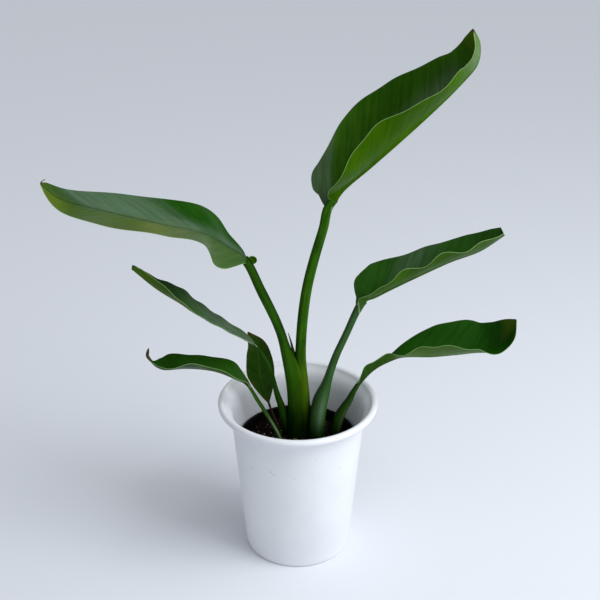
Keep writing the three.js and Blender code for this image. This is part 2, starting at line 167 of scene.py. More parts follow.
floor_material = new_material("pale_floor", roughness=FLOOR_ROUGHNESS)
feed(floor_material, base_color=FLOOR_COLOUR)
corner = FLOOR_SIZE / 2
floor = add_mesh(
    "floor",
    [(-corner, -corner, 0.0), (corner, -corner, 0.0), (corner, corner, 0.0), (-corner, corner, 0.0)],
    [np.array([[0, 1, 2, 3]])],
    floor_material,
)

world = bpy.data.worlds.new("sky")
world.use_nodes = True
world.node_tree.nodes["Background"].inputs[0].default_value = SKY_COLOUR
world.node_tree.nodes["Background"].inputs[1].default_value = SKY_STRENGTH
bpy.context.scene.world = world

window_data = bpy.data.lights.new("window", "AREA")
window_data.shape = "SQUARE"
window_data.size = WINDOW_SIZE * MM
window_data.energy = WINDOW_POWER
sun_data = bpy.data.lights.new("hazy_sun", "SUN")
sun_data.energy = SUN_STRENGTH
sun_data.angle = SUN_ANGLE
for lamp_data, place in ((window_data, WINDOW_PLACE), (sun_data, SUN_PLACE)):
    lamp_data.color = LIGHT_COLOUR
    lamp = bpy.data.objects.new(lamp_data.name, lamp_data)
    lamp.location = Vector(place) * MM
    away = lamp.location - Vector(LIGHT_TARGET) * MM
    lamp.rotation_euler = away.to_track_quat("Z", "Y").to_euler()
    bpy.context.collection.objects.link(lamp)
bpy.context.scene.view_settings.view_transform = "Standard"

# Cover pot: one moulding of white satin plastic with a flared wall and a lip that rolls out
# into a round bead. It stands loose on its flat underside.
POT_HEIGHT = 148.0
POT_BASE_RADIUS = 47.2
POT_FOOT_ROUND = 2.4
POT_WALL_TOP_RADIUS = 58.9
POT_WALL_TOP = 136.0
POT_NECK_ROUND = 9.0
POT_RIM_RADIUS = 67.0
POT_BEAD_RADIUS = 3.0
POT_BEAD_FROM = math.radians(-110.0)
POT_BEAD_TO = math.radians(165.0)
POT_BEAD_STEPS = 30
POT_WALL = 1.8
POT_INNER_NECK = 1.5
POT_FLOOR = 2.5
POT_FLOOR_ROUND = 4.0
POT_PROFILE_STEP = 4.0
POT_SEGMENTS = 192
POT_WHITE = (0.83, 0.845, 0.87, 1.0)
POT_SHADE = (0.76, 0.775, 0.81, 1.0)
POT_GRAIN_DEPTH = 0.05
DUST_COLOUR = (0.42, 0.36, 0.29, 1.0)
DUST_STRENGTH = 0.55
DUST_BEGINS = (90.0, 105.0)
DUST_ENDS = (100.0, 135.0)
CLOUDS_PER_METRE = 14.0
SPECKS_PER_METRE = 260.0
GRAINS_PER_METRE = 900.0


def rounded(corners, steps=7):
    """A profile through (radius, height, round) corners: each corner is cut back by its round
    along both of its sides, though by less than half a side, and a quadratic curve with the
    corner as its control point joins the cuts."""
    profile = [corners[0][:2]]
    for before, here, after in zip(corners, corners[1:], corners[2:]):
        here_at = np.array(here[:2], float)
        if here[2] == 0:
            profile.append(tuple(here_at))
            continue
        ends = []
        for other in (before, after):
            way = np.array(other[:2], float) - here_at
            length = np.hypot(*way)
            ends.append(here_at + way / length * min(here[2], length * 0.49))
        t = np.linspace(0.0, 1.0, steps)[:, None]
        curve = (1 - t) ** 2 * ends[0] + 2 * t * (1 - t) * here_at + t**2 * ends[1]
        profile += [tuple(p) for p in curve]
    profile.append(corners[-1][:2])
    return np.array(profile)


def refined(profile, step):
    """The same profile with points added so that none lie further apart than step."""
    pieces = []
    for a, b in zip(profile, profile[1:]):
        count = max(1, math.ceil(np.hypot(*(b - a)) / step))
        pieces.append(a + (b - a) * np.linspace(0.0, 1.0, count, endpoint=False)[:, None])
    return np.vstack([*pieces, profile[-1:]])


def closed_tube(rings, first=None, last=None):
    """Rings of equal size joined one to the next, with each end closed by triangles to a point:
    the middle of its ring, or the point given."""
    count, size = rings.shape[:2]
    index = np.arange(count * size).reshape(count, size)
    a, b = index[:-1], np.roll(index, -1, 1)[:-1]
    c, d = np.roll(index, -1, 1)[1:], index[1:]
    quads = np.stack([a, b, c, d], -1).reshape(-1, 4)
    ends = [rings[0].mean(0) if first is None else first, rings[-1].mean(0) if last is None else last]
    start = np.stack([np.roll(index[0], -1), index[0], np.full(size, count * size)], 1)
    end = np.stack([index[-1], np.roll(index[-1], -1), np.full(size, count * size + 1)], 1)
    points = np.vstack([rings.reshape(-1, 3), np.array(ends, float)])
    return points, [quads, np.vstack([start, end])]


def turned(profile, segments):
    """A profile of (radius, height) carried once round the Z axis. Its two ends lie on the axis
    and become single points: point (i, k) is radius i times (cos, sin) of turn k, at height i."""
    turn = np.arange(segments) * 2 * np.pi / segments
    radius, height = profile[1:-1, :1], profile[1:-1, 1:]
    parts = np.broadcast_arrays(radius * np.cos(turn), radius * np.sin(turn), height)
    return closed_tube(np.stack(parts, 2), (0, 0, profile[0][1]), (0, 0, profile[-1][1]))


def maths(tree, operation, *values, clamp=False):
    """The result of one Math node."""
    values = dict(enumerate(values))
    return put(tree, "ShaderNodeMath", values, operation=operation, use_clamp=clamp).outputs[0]


def blended(tree, factor, first, second):
    """The colour that lies that share of the way from the first colour to the second. Sockets 6
    and 7 of a Mix node are its two colours."""
    return put(tree, "ShaderNodeMix", {0: factor, 6: first, 7: second}, data_type="RGBA").outputs[2]


def stretched(tree, value, low, high, to_low=0.0, to_high=1.0):
    """A value carried from one range to another along a smooth step, and held at its ends."""
    values = dict(enumerate((value, low, high, to_low, to_high)))
    return put(tree, "ShaderNodeMapRange", values, interpolation_type="SMOOTHSTEP").outputs[0]


def noise(tree, place, scale, detail):
    """Cloudy noise around 0.5, with scale clouds in each unit of the place."""
    values = {"Vector": place, "Scale": scale, "Detail": detail}
    return put(tree, "ShaderNodeTexNoise", values).outputs[0]


def object_place(tree):
    """The object's own coordinates, in metres."""
    return put(tree, "ShaderNodeTexCoord").outputs["Object"]


bead_middle = np.array([POT_RIM_RADIUS, POT_HEIGHT - POT_BEAD_RADIUS])
bead_turn = np.linspace(POT_BEAD_FROM, POT_BEAD_TO, POT_BEAD_STEPS)
bead = bead_middle + POT_BEAD_RADIUS * np.stack([np.cos(bead_turn), np.sin(bead_turn)], 1)
pot_outside = rounded(
    [
        (0.0, 0.0, 0),
        (POT_BASE_RADIUS, 0.0, POT_FOOT_ROUND),
        (POT_WALL_TOP_RADIUS, POT_WALL_TOP, POT_NECK_ROUND),
        (*bead[0], 0),
    ]
)
pot_inside = rounded(
    [
        (*bead[-1], 0),
        (POT_WALL_TOP_RADIUS - POT_WALL, POT_WALL_TOP + POT_INNER_NECK, POT_NECK_ROUND),
        (POT_BASE_RADIUS - POT_WALL, POT_FLOOR, POT_FLOOR_ROUND),
        (0.0, POT_FLOOR, 0),
    ]
)
pot_profile = refined(np.vstack([pot_outside[:-1], bead, pot_inside[1:]]), POT_PROFILE_STEP)

pot_material = new_material("white_plastic")
tree = pot_material.node_tree
pot_place = object_place(tree)
pot_cloud = noise(tree, pot_place, CLOUDS_PER_METRE, 4.0)
pot_grain = noise(tree, pot_place, GRAINS_PER_METRE, 2.0)
specks = stretched(tree, noise(tree, pot_place, SPECKS_PER_METRE, 3.0), 0.68, 0.76)
pot_z = put(tree, "ShaderNodeSeparateXYZ", {0: pot_place}).outputs["Z"]
dust_begins = stretched(tree, pot_z, DUST_BEGINS[0] * MM, DUST_BEGINS[1] * MM)
dust_ends = stretched(tree, pot_z, DUST_ENDS[0] * MM, DUST_ENDS[1] * MM, DUST_STRENGTH, 0.0)
dust = maths(tree, "MULTIPLY", specks, maths(tree, "MULTIPLY", dust_ends, dust_begins))
pot_colour = blended(tree, stretched(tree, pot_cloud, 0.35, 0.7), POT_WHITE, POT_SHADE)
feed(
    pot_material,
    base_color=blended(tree, dust, pot_colour, DUST_COLOUR),
    roughness=stretched(tree, pot_cloud, 0.3, 0.75, 0.3, 0.44),
    height=(pot_grain, 0.12, POT_GRAIN_DEPTH),
)
pot = add_mesh("cover_pot_moulding", *turned(pot_profile, POT_SEGMENTS), pot_material)
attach(pot, "root")
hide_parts("cover_pot")

# Nursery pot: thin black thermoformed plastic that drops loose into the cover pot. It has a
# short outer lip, and a thin film of dried soil clings to its wall.
LINER_RIM_RADIUS = 52.0
LINER_TOP_RADIUS = 50.5
LINER_BASE_RADIUS = 38.0
LINER_FOOT = 2.8
LINER_RIM_Z = 110.0
LINER_WALL = 1.2
LINER_LIP = 6.0
LINER_DRAFT = 0.7
LINER_MOUTH_RADIUS = LINER_TOP_RADIUS - LINER_WALL - LINER_DRAFT
LINER_PROFILE_STEP = 5.0
LINER_SEGMENTS = 160
LINER_BLACK = (0.003, 0.003, 0.004, 1.0)
LINER_FILM = (0.018, 0.014, 0.012, 1.0)
LINER_FILM_STRENGTH = 0.5
LINER_IOR = 1.12
FILMS_PER_METRE = 70.0

lip_foot = LINER_RIM_Z - LINER_LIP
liner_profile = rounded(
    [
        (0.0, LINER_FOOT, 0),
        (LINER_BASE_RADIUS, LINER_FOOT, 1.6),
        (LINER_TOP_RADIUS - 0.9, lip_foot, 0.5),
        (LINER_RIM_RADIUS - 0.2, lip_foot + 0.4, 0.4),
        (LINER_RIM_RADIUS, LINER_RIM_Z, 0.9),
        (LINER_TOP_RADIUS - LINER_WALL + 0.3, LINER_RIM_Z, 1.0),
        (LINER_MOUTH_RADIUS, lip_foot - 1.0, 1.5),
        (LINER_BASE_RADIUS - LINER_WALL, LINER_FOOT + LINER_WALL, 2.0),
        (0.0, LINER_FOOT + LINER_WALL, 0),
    ],
    steps=5,
)
liner_profile = refined(liner_profile, LINER_PROFILE_STEP)

liner_material = new_material("black_plastic", ior=LINER_IOR)
tree = liner_material.node_tree
film_and_painted_sheen = noise(tree, object_place(tree), FILMS_PER_METRE, 5.0)
film_share = stretched(tree, film_and_painted_sheen, 0.5, 0.78, 0.0, LINER_FILM_STRENGTH)
feed(
    liner_material,
    base_color=blended(tree, film_share, LINER_BLACK, LINER_FILM),
    roughness=stretched(tree, film_and_painted_sheen, 0.3, 0.75, 0.3, 0.6),
    height=(film_and_painted_sheen, 0.2, 0.15),
)
liner = add_mesh("nursery_pot_wall", *turned(liner_profile, LINER_SEGMENTS), liner_material)
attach(liner, "root")
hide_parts("nursery_pot")

# Potting soil: moist dark peat mix, filled to just under the nursery pot's rim. Loose crumbs,
# a few bark chips, root fibres and pale perlite lie on top and are pressed half into it.
SOIL_EDGE_Z = 101.0
SOIL_CROWN = 3.5
SOIL_SHOULDER = 3.0
SOIL_RADIUS = LINER_MOUTH_RADIUS
SOIL_WALL_GAP = 0.5
SOIL_FLOOR_GAP = 0.4
SOIL_LUMPS = ((0.9, 9.0, 3), (0.5, 3.6, 4), (0.3, 1.7, 5))
SOIL_RINGS = 90
SOIL_SEGMENTS = 300
SOIL_DARK = (0.004, 0.002, 0.002, 1.0)
SOIL_BROWN = (0.016, 0.007, 0.006, 1.0)
SOIL_IOR = 1.15
DAMP_PER_METRE = 90.0
GRIT_PER_METRE = 650.0
CRUMBS = dict(count=2600, sizes=(0.7, 2.6), flatness=(1, 1, 0.8), sink=0.35, seed=11)
CHIPS = dict(count=130, sizes=(1.8, 5.0), flatness=(1, 0.45, 0.28), sink=0.1, seed=12)
PERLITE = dict(count=70, sizes=(0.9, 2.3), flatness=(1, 1, 1), sink=0.3, seed=13, reach=0.9)
FIBRES = dict(count=150, lengths=(4, 13), thickness=(0.1, 0.22), bend=1.4, lift=0.35, arch=0.9, seed=14)
LUMP_JITTER = (0.7, 1.25)
PERLITE_WHITE = (0.52, 0.48, 0.44, 1.0)
PERLITE_DIRTY = (0.25, 0.19, 0.15, 1.0)
BARK_BROWN = (0.05, 0.026, 0.014, 1.0)
BARK_PALE = (0.13, 0.08, 0.045, 1.0)


def lattice_noise(x, y, cell, seed):
    """Smooth random heights from -1 to 1: a seeded grid of random values, cell apart, read
    between its points with a smooth step both ways."""
    values = np.random.default_rng(seed).uniform(-1, 1, (64, 64))
    grid_x, grid_y = x / cell + 31.5, y / cell + 31.5
    i, j = np.floor(grid_x).astype(int), np.floor(grid_y).astype(int)
    past_x, past_y = grid_x - i, grid_y - j
    blend_x, blend_y = past_x * past_x * (3 - 2 * past_x), past_y * past_y * (3 - 2 * past_y)
    i, j = i % 63, j % 63
    low = values[i, j] * (1 - blend_x) + values[i + 1, j] * blend_x
    high = values[i, j + 1] * (1 - blend_x) + values[i + 1, j + 1] * blend_x
    return low * (1 - blend_y) + high * blend_y


def soil_height(x, y):
    """Height of the soil: a low crown at the middle, and on it lumps of three sizes, each given
    by its height, its breadth and its seed."""
    crown = SOIL_EDGE_Z + SOIL_CROWN * (1 - (np.hypot(x, y) / SOIL_RADIUS) ** 2)
    return crown + sum(tall * lattice_noise(x, y, wide, seed) for tall, wide, seed in SOIL_LUMPS)


turn = np.arange(SOIL_SEGMENTS) * 2 * np.pi / SOIL_SEGMENTS
radius = SOIL_RADIUS * np.linspace(1.0, 0.01, SOIL_RINGS)[:, None]
soil_x, soil_y = radius * np.cos(turn), radius * np.sin(turn)
soil_top = np.stack([soil_x, soil_y, soil_height(soil_x, soil_y)], 2)
wall_z = np.array([[LINER_FOOT + LINER_WALL + SOIL_FLOOR_GAP], [SOIL_EDGE_Z - SOIL_SHOULDER]])
wall_flare = (SOIL_RADIUS - LINER_BASE_RADIUS + LINER_WALL) / (SOIL_EDGE_Z - LINER_FOOT)
wall_r = LINER_BASE_RADIUS - LINER_WALL + (wall_z - LINER_FOOT) * wall_flare - SOIL_WALL_GAP
wall = np.stack(np.broadcast_arrays(wall_r * np.cos(turn), wall_r * np.sin(turn), wall_z), 2)

soil_material = new_material("moist_peat", ior=SOIL_IOR)
tree = soil_material.node_tree
soil_place = object_place(tree)
soil_grit = noise(tree, soil_place, GRIT_PER_METRE, 6.0)
soil_damp = noise(tree, soil_place, DAMP_PER_METRE, 4.0)
soil_mask = maths(
    tree,
    "MULTIPLY",
    stretched(tree, soil_grit, 0.4, 0.72),
    stretched(tree, soil_damp, 0.3, 0.7, 0.3, 1.0),
)
feed(
    soil_material,
    base_color=blended(tree, soil_mask, SOIL_DARK, SOIL_BROWN),
    roughness=stretched(tree, soil_damp, 0.3, 0.7, 0.75, 0.97),
    height=(soil_grit, 0.9, 0.5),
)
soil = add_mesh("potting_soil_bed", *closed_tube(np.concatenate([wall, soil_top])), soil_material)
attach(soil, "root")
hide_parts("potting_soil")


def turns_of(count, random):
    """Random turns: unit quaternions written out as three-by-three matrices."""
    q = random.normal(size=(count, 4))
    w, x, y, z = (q / np.linalg.norm(q, axis=1, keepdims=True)).T
    return np.stack(
        [
            np.stack([1 - 2 * (y * y + z * z), 2 * (x * y - z * w), 2 * (x * z + y * w)], 1),
            np.stack([2 * (x * y + z * w), 1 - 2 * (x * x + z * z), 2 * (y * z - x * w)], 1),
            np.stack([2 * (x * z - y * w), 2 * (y * z + x * w), 1 - 2 * (x * x + y * y)], 1),
        ],
        1,
    )


def on_disc(count, reach, random):
    """Random places spread evenly over the soil, out to that share of its radius."""
    r = SOIL_RADIUS * reach * np.sqrt(random.uniform(0, 1, count))
    a = random.uniform(0, 2 * np.pi, count)
    return r * np.cos(a), r * np.sin(a)


def lumps(count, sizes, flatness, sink, seed, reach=0.97):
    """Copies of a twenty-sided lump on the soil: corner = place + turn (size times flatness times
    jittered corner). sink is the share of a lump that lies in the soil."""
    random = np.random.default_rng(seed)
    golden = (1 + math.sqrt(5)) / 2
    corners = np.array(
        [(-1, golden, 0), (1, golden, 0), (-1, -golden, 0), (1, -golden, 0),
         (0, -1, golden), (0, 1, golden), (0, -1, -golden), (0, 1, -golden),
         (golden, 0, -1), (golden, 0, 1), (-golden, 0, -1), (-golden, 0, 1)]
    ) / math.hypot(1, golden)
    sides = np.array(
        [(0, 11, 5), (0, 5, 1), (0, 1, 7), (0, 7, 10), (0, 10, 11), (1, 5, 9), (5, 11, 4),
         (11, 10, 2), (10, 7, 6), (7, 1, 8), (3, 9, 4), (3, 4, 2), (3, 2, 6), (3, 6, 8),
         (3, 8, 9), (4, 9, 5), (2, 4, 11), (6, 2, 10), (8, 6, 7), (9, 8, 1)]
    )
    x, y = on_disc(count, reach, random)
    size = random.uniform(*sizes, count)
    jitter = random.uniform(*LUMP_JITTER, (count, 12, 1))
    shape = corners[None] * jitter * np.array(flatness) * size[:, None, None] / 2
    shape = np.einsum("nij,nkj->nki", turns_of(count, random), shape)
    place = np.stack([x, y, soil_height(x, y) + size * (0.5 - sink) * min(flatness)], 1)
    points = shape + place[:, None]
    faces = sides[None] + 12 * np.arange(count)[:, None, None]
    return points.reshape(-1, 3), [faces.reshape(-1, 3)]


def fibres(count, lengths, thickness, bend, lift, arch, seed, sides=3, stations=7):
    """Thin root threads on the soil: each follows an arc whose heading turns evenly along it, by
    up to bend radians. It lies lift above the soil and arches by up to arch more, and its
    three-sided section tapers to both ends."""
    random = np.random.default_rng(seed)
    start_x, start_y = on_disc(count, 0.88, random)
    heading = random.uniform(0, 2 * np.pi, count)
    bends = random.uniform(-bend, bend, count)
    length = random.uniform(*lengths, count)
    s = np.linspace(0, 1, stations)
    angle = heading[:, None] + bends[:, None] * s
    step = length[:, None] / (stations - 1)
    x = start_x[:, None] + np.cumsum(np.cos(angle) * step, 1)
    y = start_y[:, None] + np.cumsum(np.sin(angle) * step, 1)
    inside = np.minimum(1.0, SOIL_RADIUS * 0.96 / np.maximum(np.hypot(x, y), 1e-6))
    x, y = x * inside, y * inside
    z = soil_height(x, y) + lift + random.uniform(0, arch, (count, 1)) * np.sin(np.pi * s)
    thick = random.uniform(*thickness, (count, 1)) * (0.35 + np.sin(np.pi * s))
    turn = np.arange(sides) * 2 * np.pi / sides
    across = np.stack([-np.sin(angle), np.cos(angle), np.zeros_like(angle)], -1)
    middle = np.stack([x, y, z], -1)
    points = (
        middle[:, :, None]
        + thick[:, :, None, None] * np.cos(turn)[:, None] * across[:, :, None]
        + thick[:, :, None, None] * np.sin(turn)[:, None] * np.array([0.0, 0.0, 1.0])
    )
    index = np.arange(count * stations * sides).reshape(count, stations, sides)
    beside = np.roll(index, -1, 2)
    quads = np.stack([index[:, :-1], beside[:, :-1], beside[:, 1:], index[:, 1:]], -1)
    caps = np.concatenate([index[:, 0, ::-1], index[:, -1]])
    return points.reshape(-1, 3), [quads.reshape(-1, 4), caps]


def new_group(name, scale_name, made_names):
    """A new node group that takes a place and one number and gives the values named. With it
    come the sockets that hold what it is given, and those that its values go to."""
    group = bpy.data.node_groups.new(name, "ShaderNodeTree")
    group.interface.new_socket("Place", in_out="INPUT", socket_type="NodeSocketVector")
    group.interface.new_socket(scale_name, in_out="INPUT", socket_type="NodeSocketFloat")
    for made_name in made_names:
        group.interface.new_socket(made_name, in_out="OUTPUT", socket_type="NodeSocketFloat")
    given = group.nodes.new("NodeGroupInput").outputs
    made = group.nodes.new("NodeGroupOutput").inputs
    return group, given, made


def grit_group():
    """Node group for rough grains. From a place and a scale it makes a share of the paler tone
    and a height, both from one noise."""
    group, given, made = new_group("grit", "Scale", ("Pale", "Height"))
    grains = noise(group, given["Place"], given["Scale"], 5.0)
    group.links.new(stretched(group, grains, 0.35, 0.7), made["Pale"])
    group.links.new(grains, made["Height"])
    return group


grit = grit_group()


def grain_material(name, dark, pale, grains_per_metre):
    """Dull grains in two tones."""
    material = new_material(name, roughness=0.9, ior=SOIL_IOR)
    tree = material.node_tree
    values = {"Place": object_place(tree), "Scale": grains_per_metre}
    grains = put(tree, "ShaderNodeGroup", values, node_tree=grit).outputs
    feed(
        material,
        base_color=blended(tree, grains["Pale"], dark, pale),
        height=(grains["Height"], 0.7, 0.3),
    )
    return material


peat_crumbs = grain_material("peat_crumbs", SOIL_DARK, SOIL_BROWN, 220.0)
bark = grain_material("bark", BARK_BROWN, BARK_PALE, 300.0)
perlite = grain_material("perlite", PERLITE_DIRTY, PERLITE_WHITE, 420.0)
for name, made, material in (
    ("soil_crumbs", lumps(**CRUMBS), peat_crumbs),
    ("bark_chips", lumps(**CHIPS), bark),
    ("perlite_grains", lumps(**PERLITE), perlite),
    ("root_fibres", fibres(**FIBRES), bark),
):
    piece = add_mesh(name, *made, material)
    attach(piece, "root")

# Leaves: seven leaves of thick, waxy, dark green tissue. Each is one organ: a stalk that rises
# from the soil, sheathed at its foot by its neighbours, and runs on as the midrib of a
# boat-shaped blade. The blades are made here and their stalks in a section of their own.
BLADE_SKIN = 0.32
BLADE_RING_STEP = 0.75
BLADE_COLUMN_STEP = 0.825
RING_CROWDING = 0.3
COLUMN_CROWDING = 0.2
CURVE_STATIONS = 401
TIP_LAG = 0.6
WING_LENGTH = 9.0
WING_NARROWEST = 0.15
RIB_WIDTH = 2.6
RIB_TAPER = [(0, 0.8), (0.08, 0.5), (0.3, 0.36), (0.7, 0.2), (1, 0.04)]
GROOVE_DEPTH = 0.7
GROOVE_WIDTH = 1.1
VEIN_SPACING = 4.4
VEIN_RELIEF = 0.05
VEIN_SLANT = 0.8
VEIN_BEND = 0.004
VEIN_WANDER = 0.5
PLEAT_SPACING = 13.0
PLEAT_RELIEF = 0.16
FAR_RIPPLE_SHIFT = 0.35
SHARP_EDGE = math.radians(50)
HALF_BLEND = 14.0
SHEEN_DISTANCE = 8.0
WAX_MOST = 1.3
# Painted sheen: where the wax is thickest, past the first of these values, the blade's colour is
# blended towards a pale blue-green, evenly and in bands along the veins, as a painted reflection.
PAINTED_SHEEN_FROM = 0.95
PAINTED_SHEEN_EVEN = 0.16
PAINTED_SHEEN_STREAKY = 0.18
# Near margin: pale tissue with a painted highlight along the edge.
PALE_MARGIN_AND_HIGHLIGHT = (0.26, 0.4, 0.16)
OLIVE_COLOUR = (0.1, 0.145, 0.008)
KEEL_COLOUR = (0.05, 0.045, 0.02)
# Pale blue-green of the painted sheen on the blades.
PAINTED_SHEEN_COLOUR = (0.1, 0.2, 0.1)
DRY_COLOUR = (0.075, 0.048, 0.022)
LEAF_IOR = 1.06
TISSUE = {
    "Coat Roughness": 0.4,
    "Coat IOR": 1.6,
    "Subsurface Weight": 0.08,
    "Subsurface Radius": (0.5, 1.0, 0.1),
}
NOTHING = [(0, 0), (1, 0)]
BLADE_GLOW_DEPTH = 1.0
JOINT_BLEND = (-0.03, 0.03)
PATCHES_PER_METRE = 22.0
SPOTS_PER_METRE = 420.0
FINE_VEIN_SPACING = 1.3
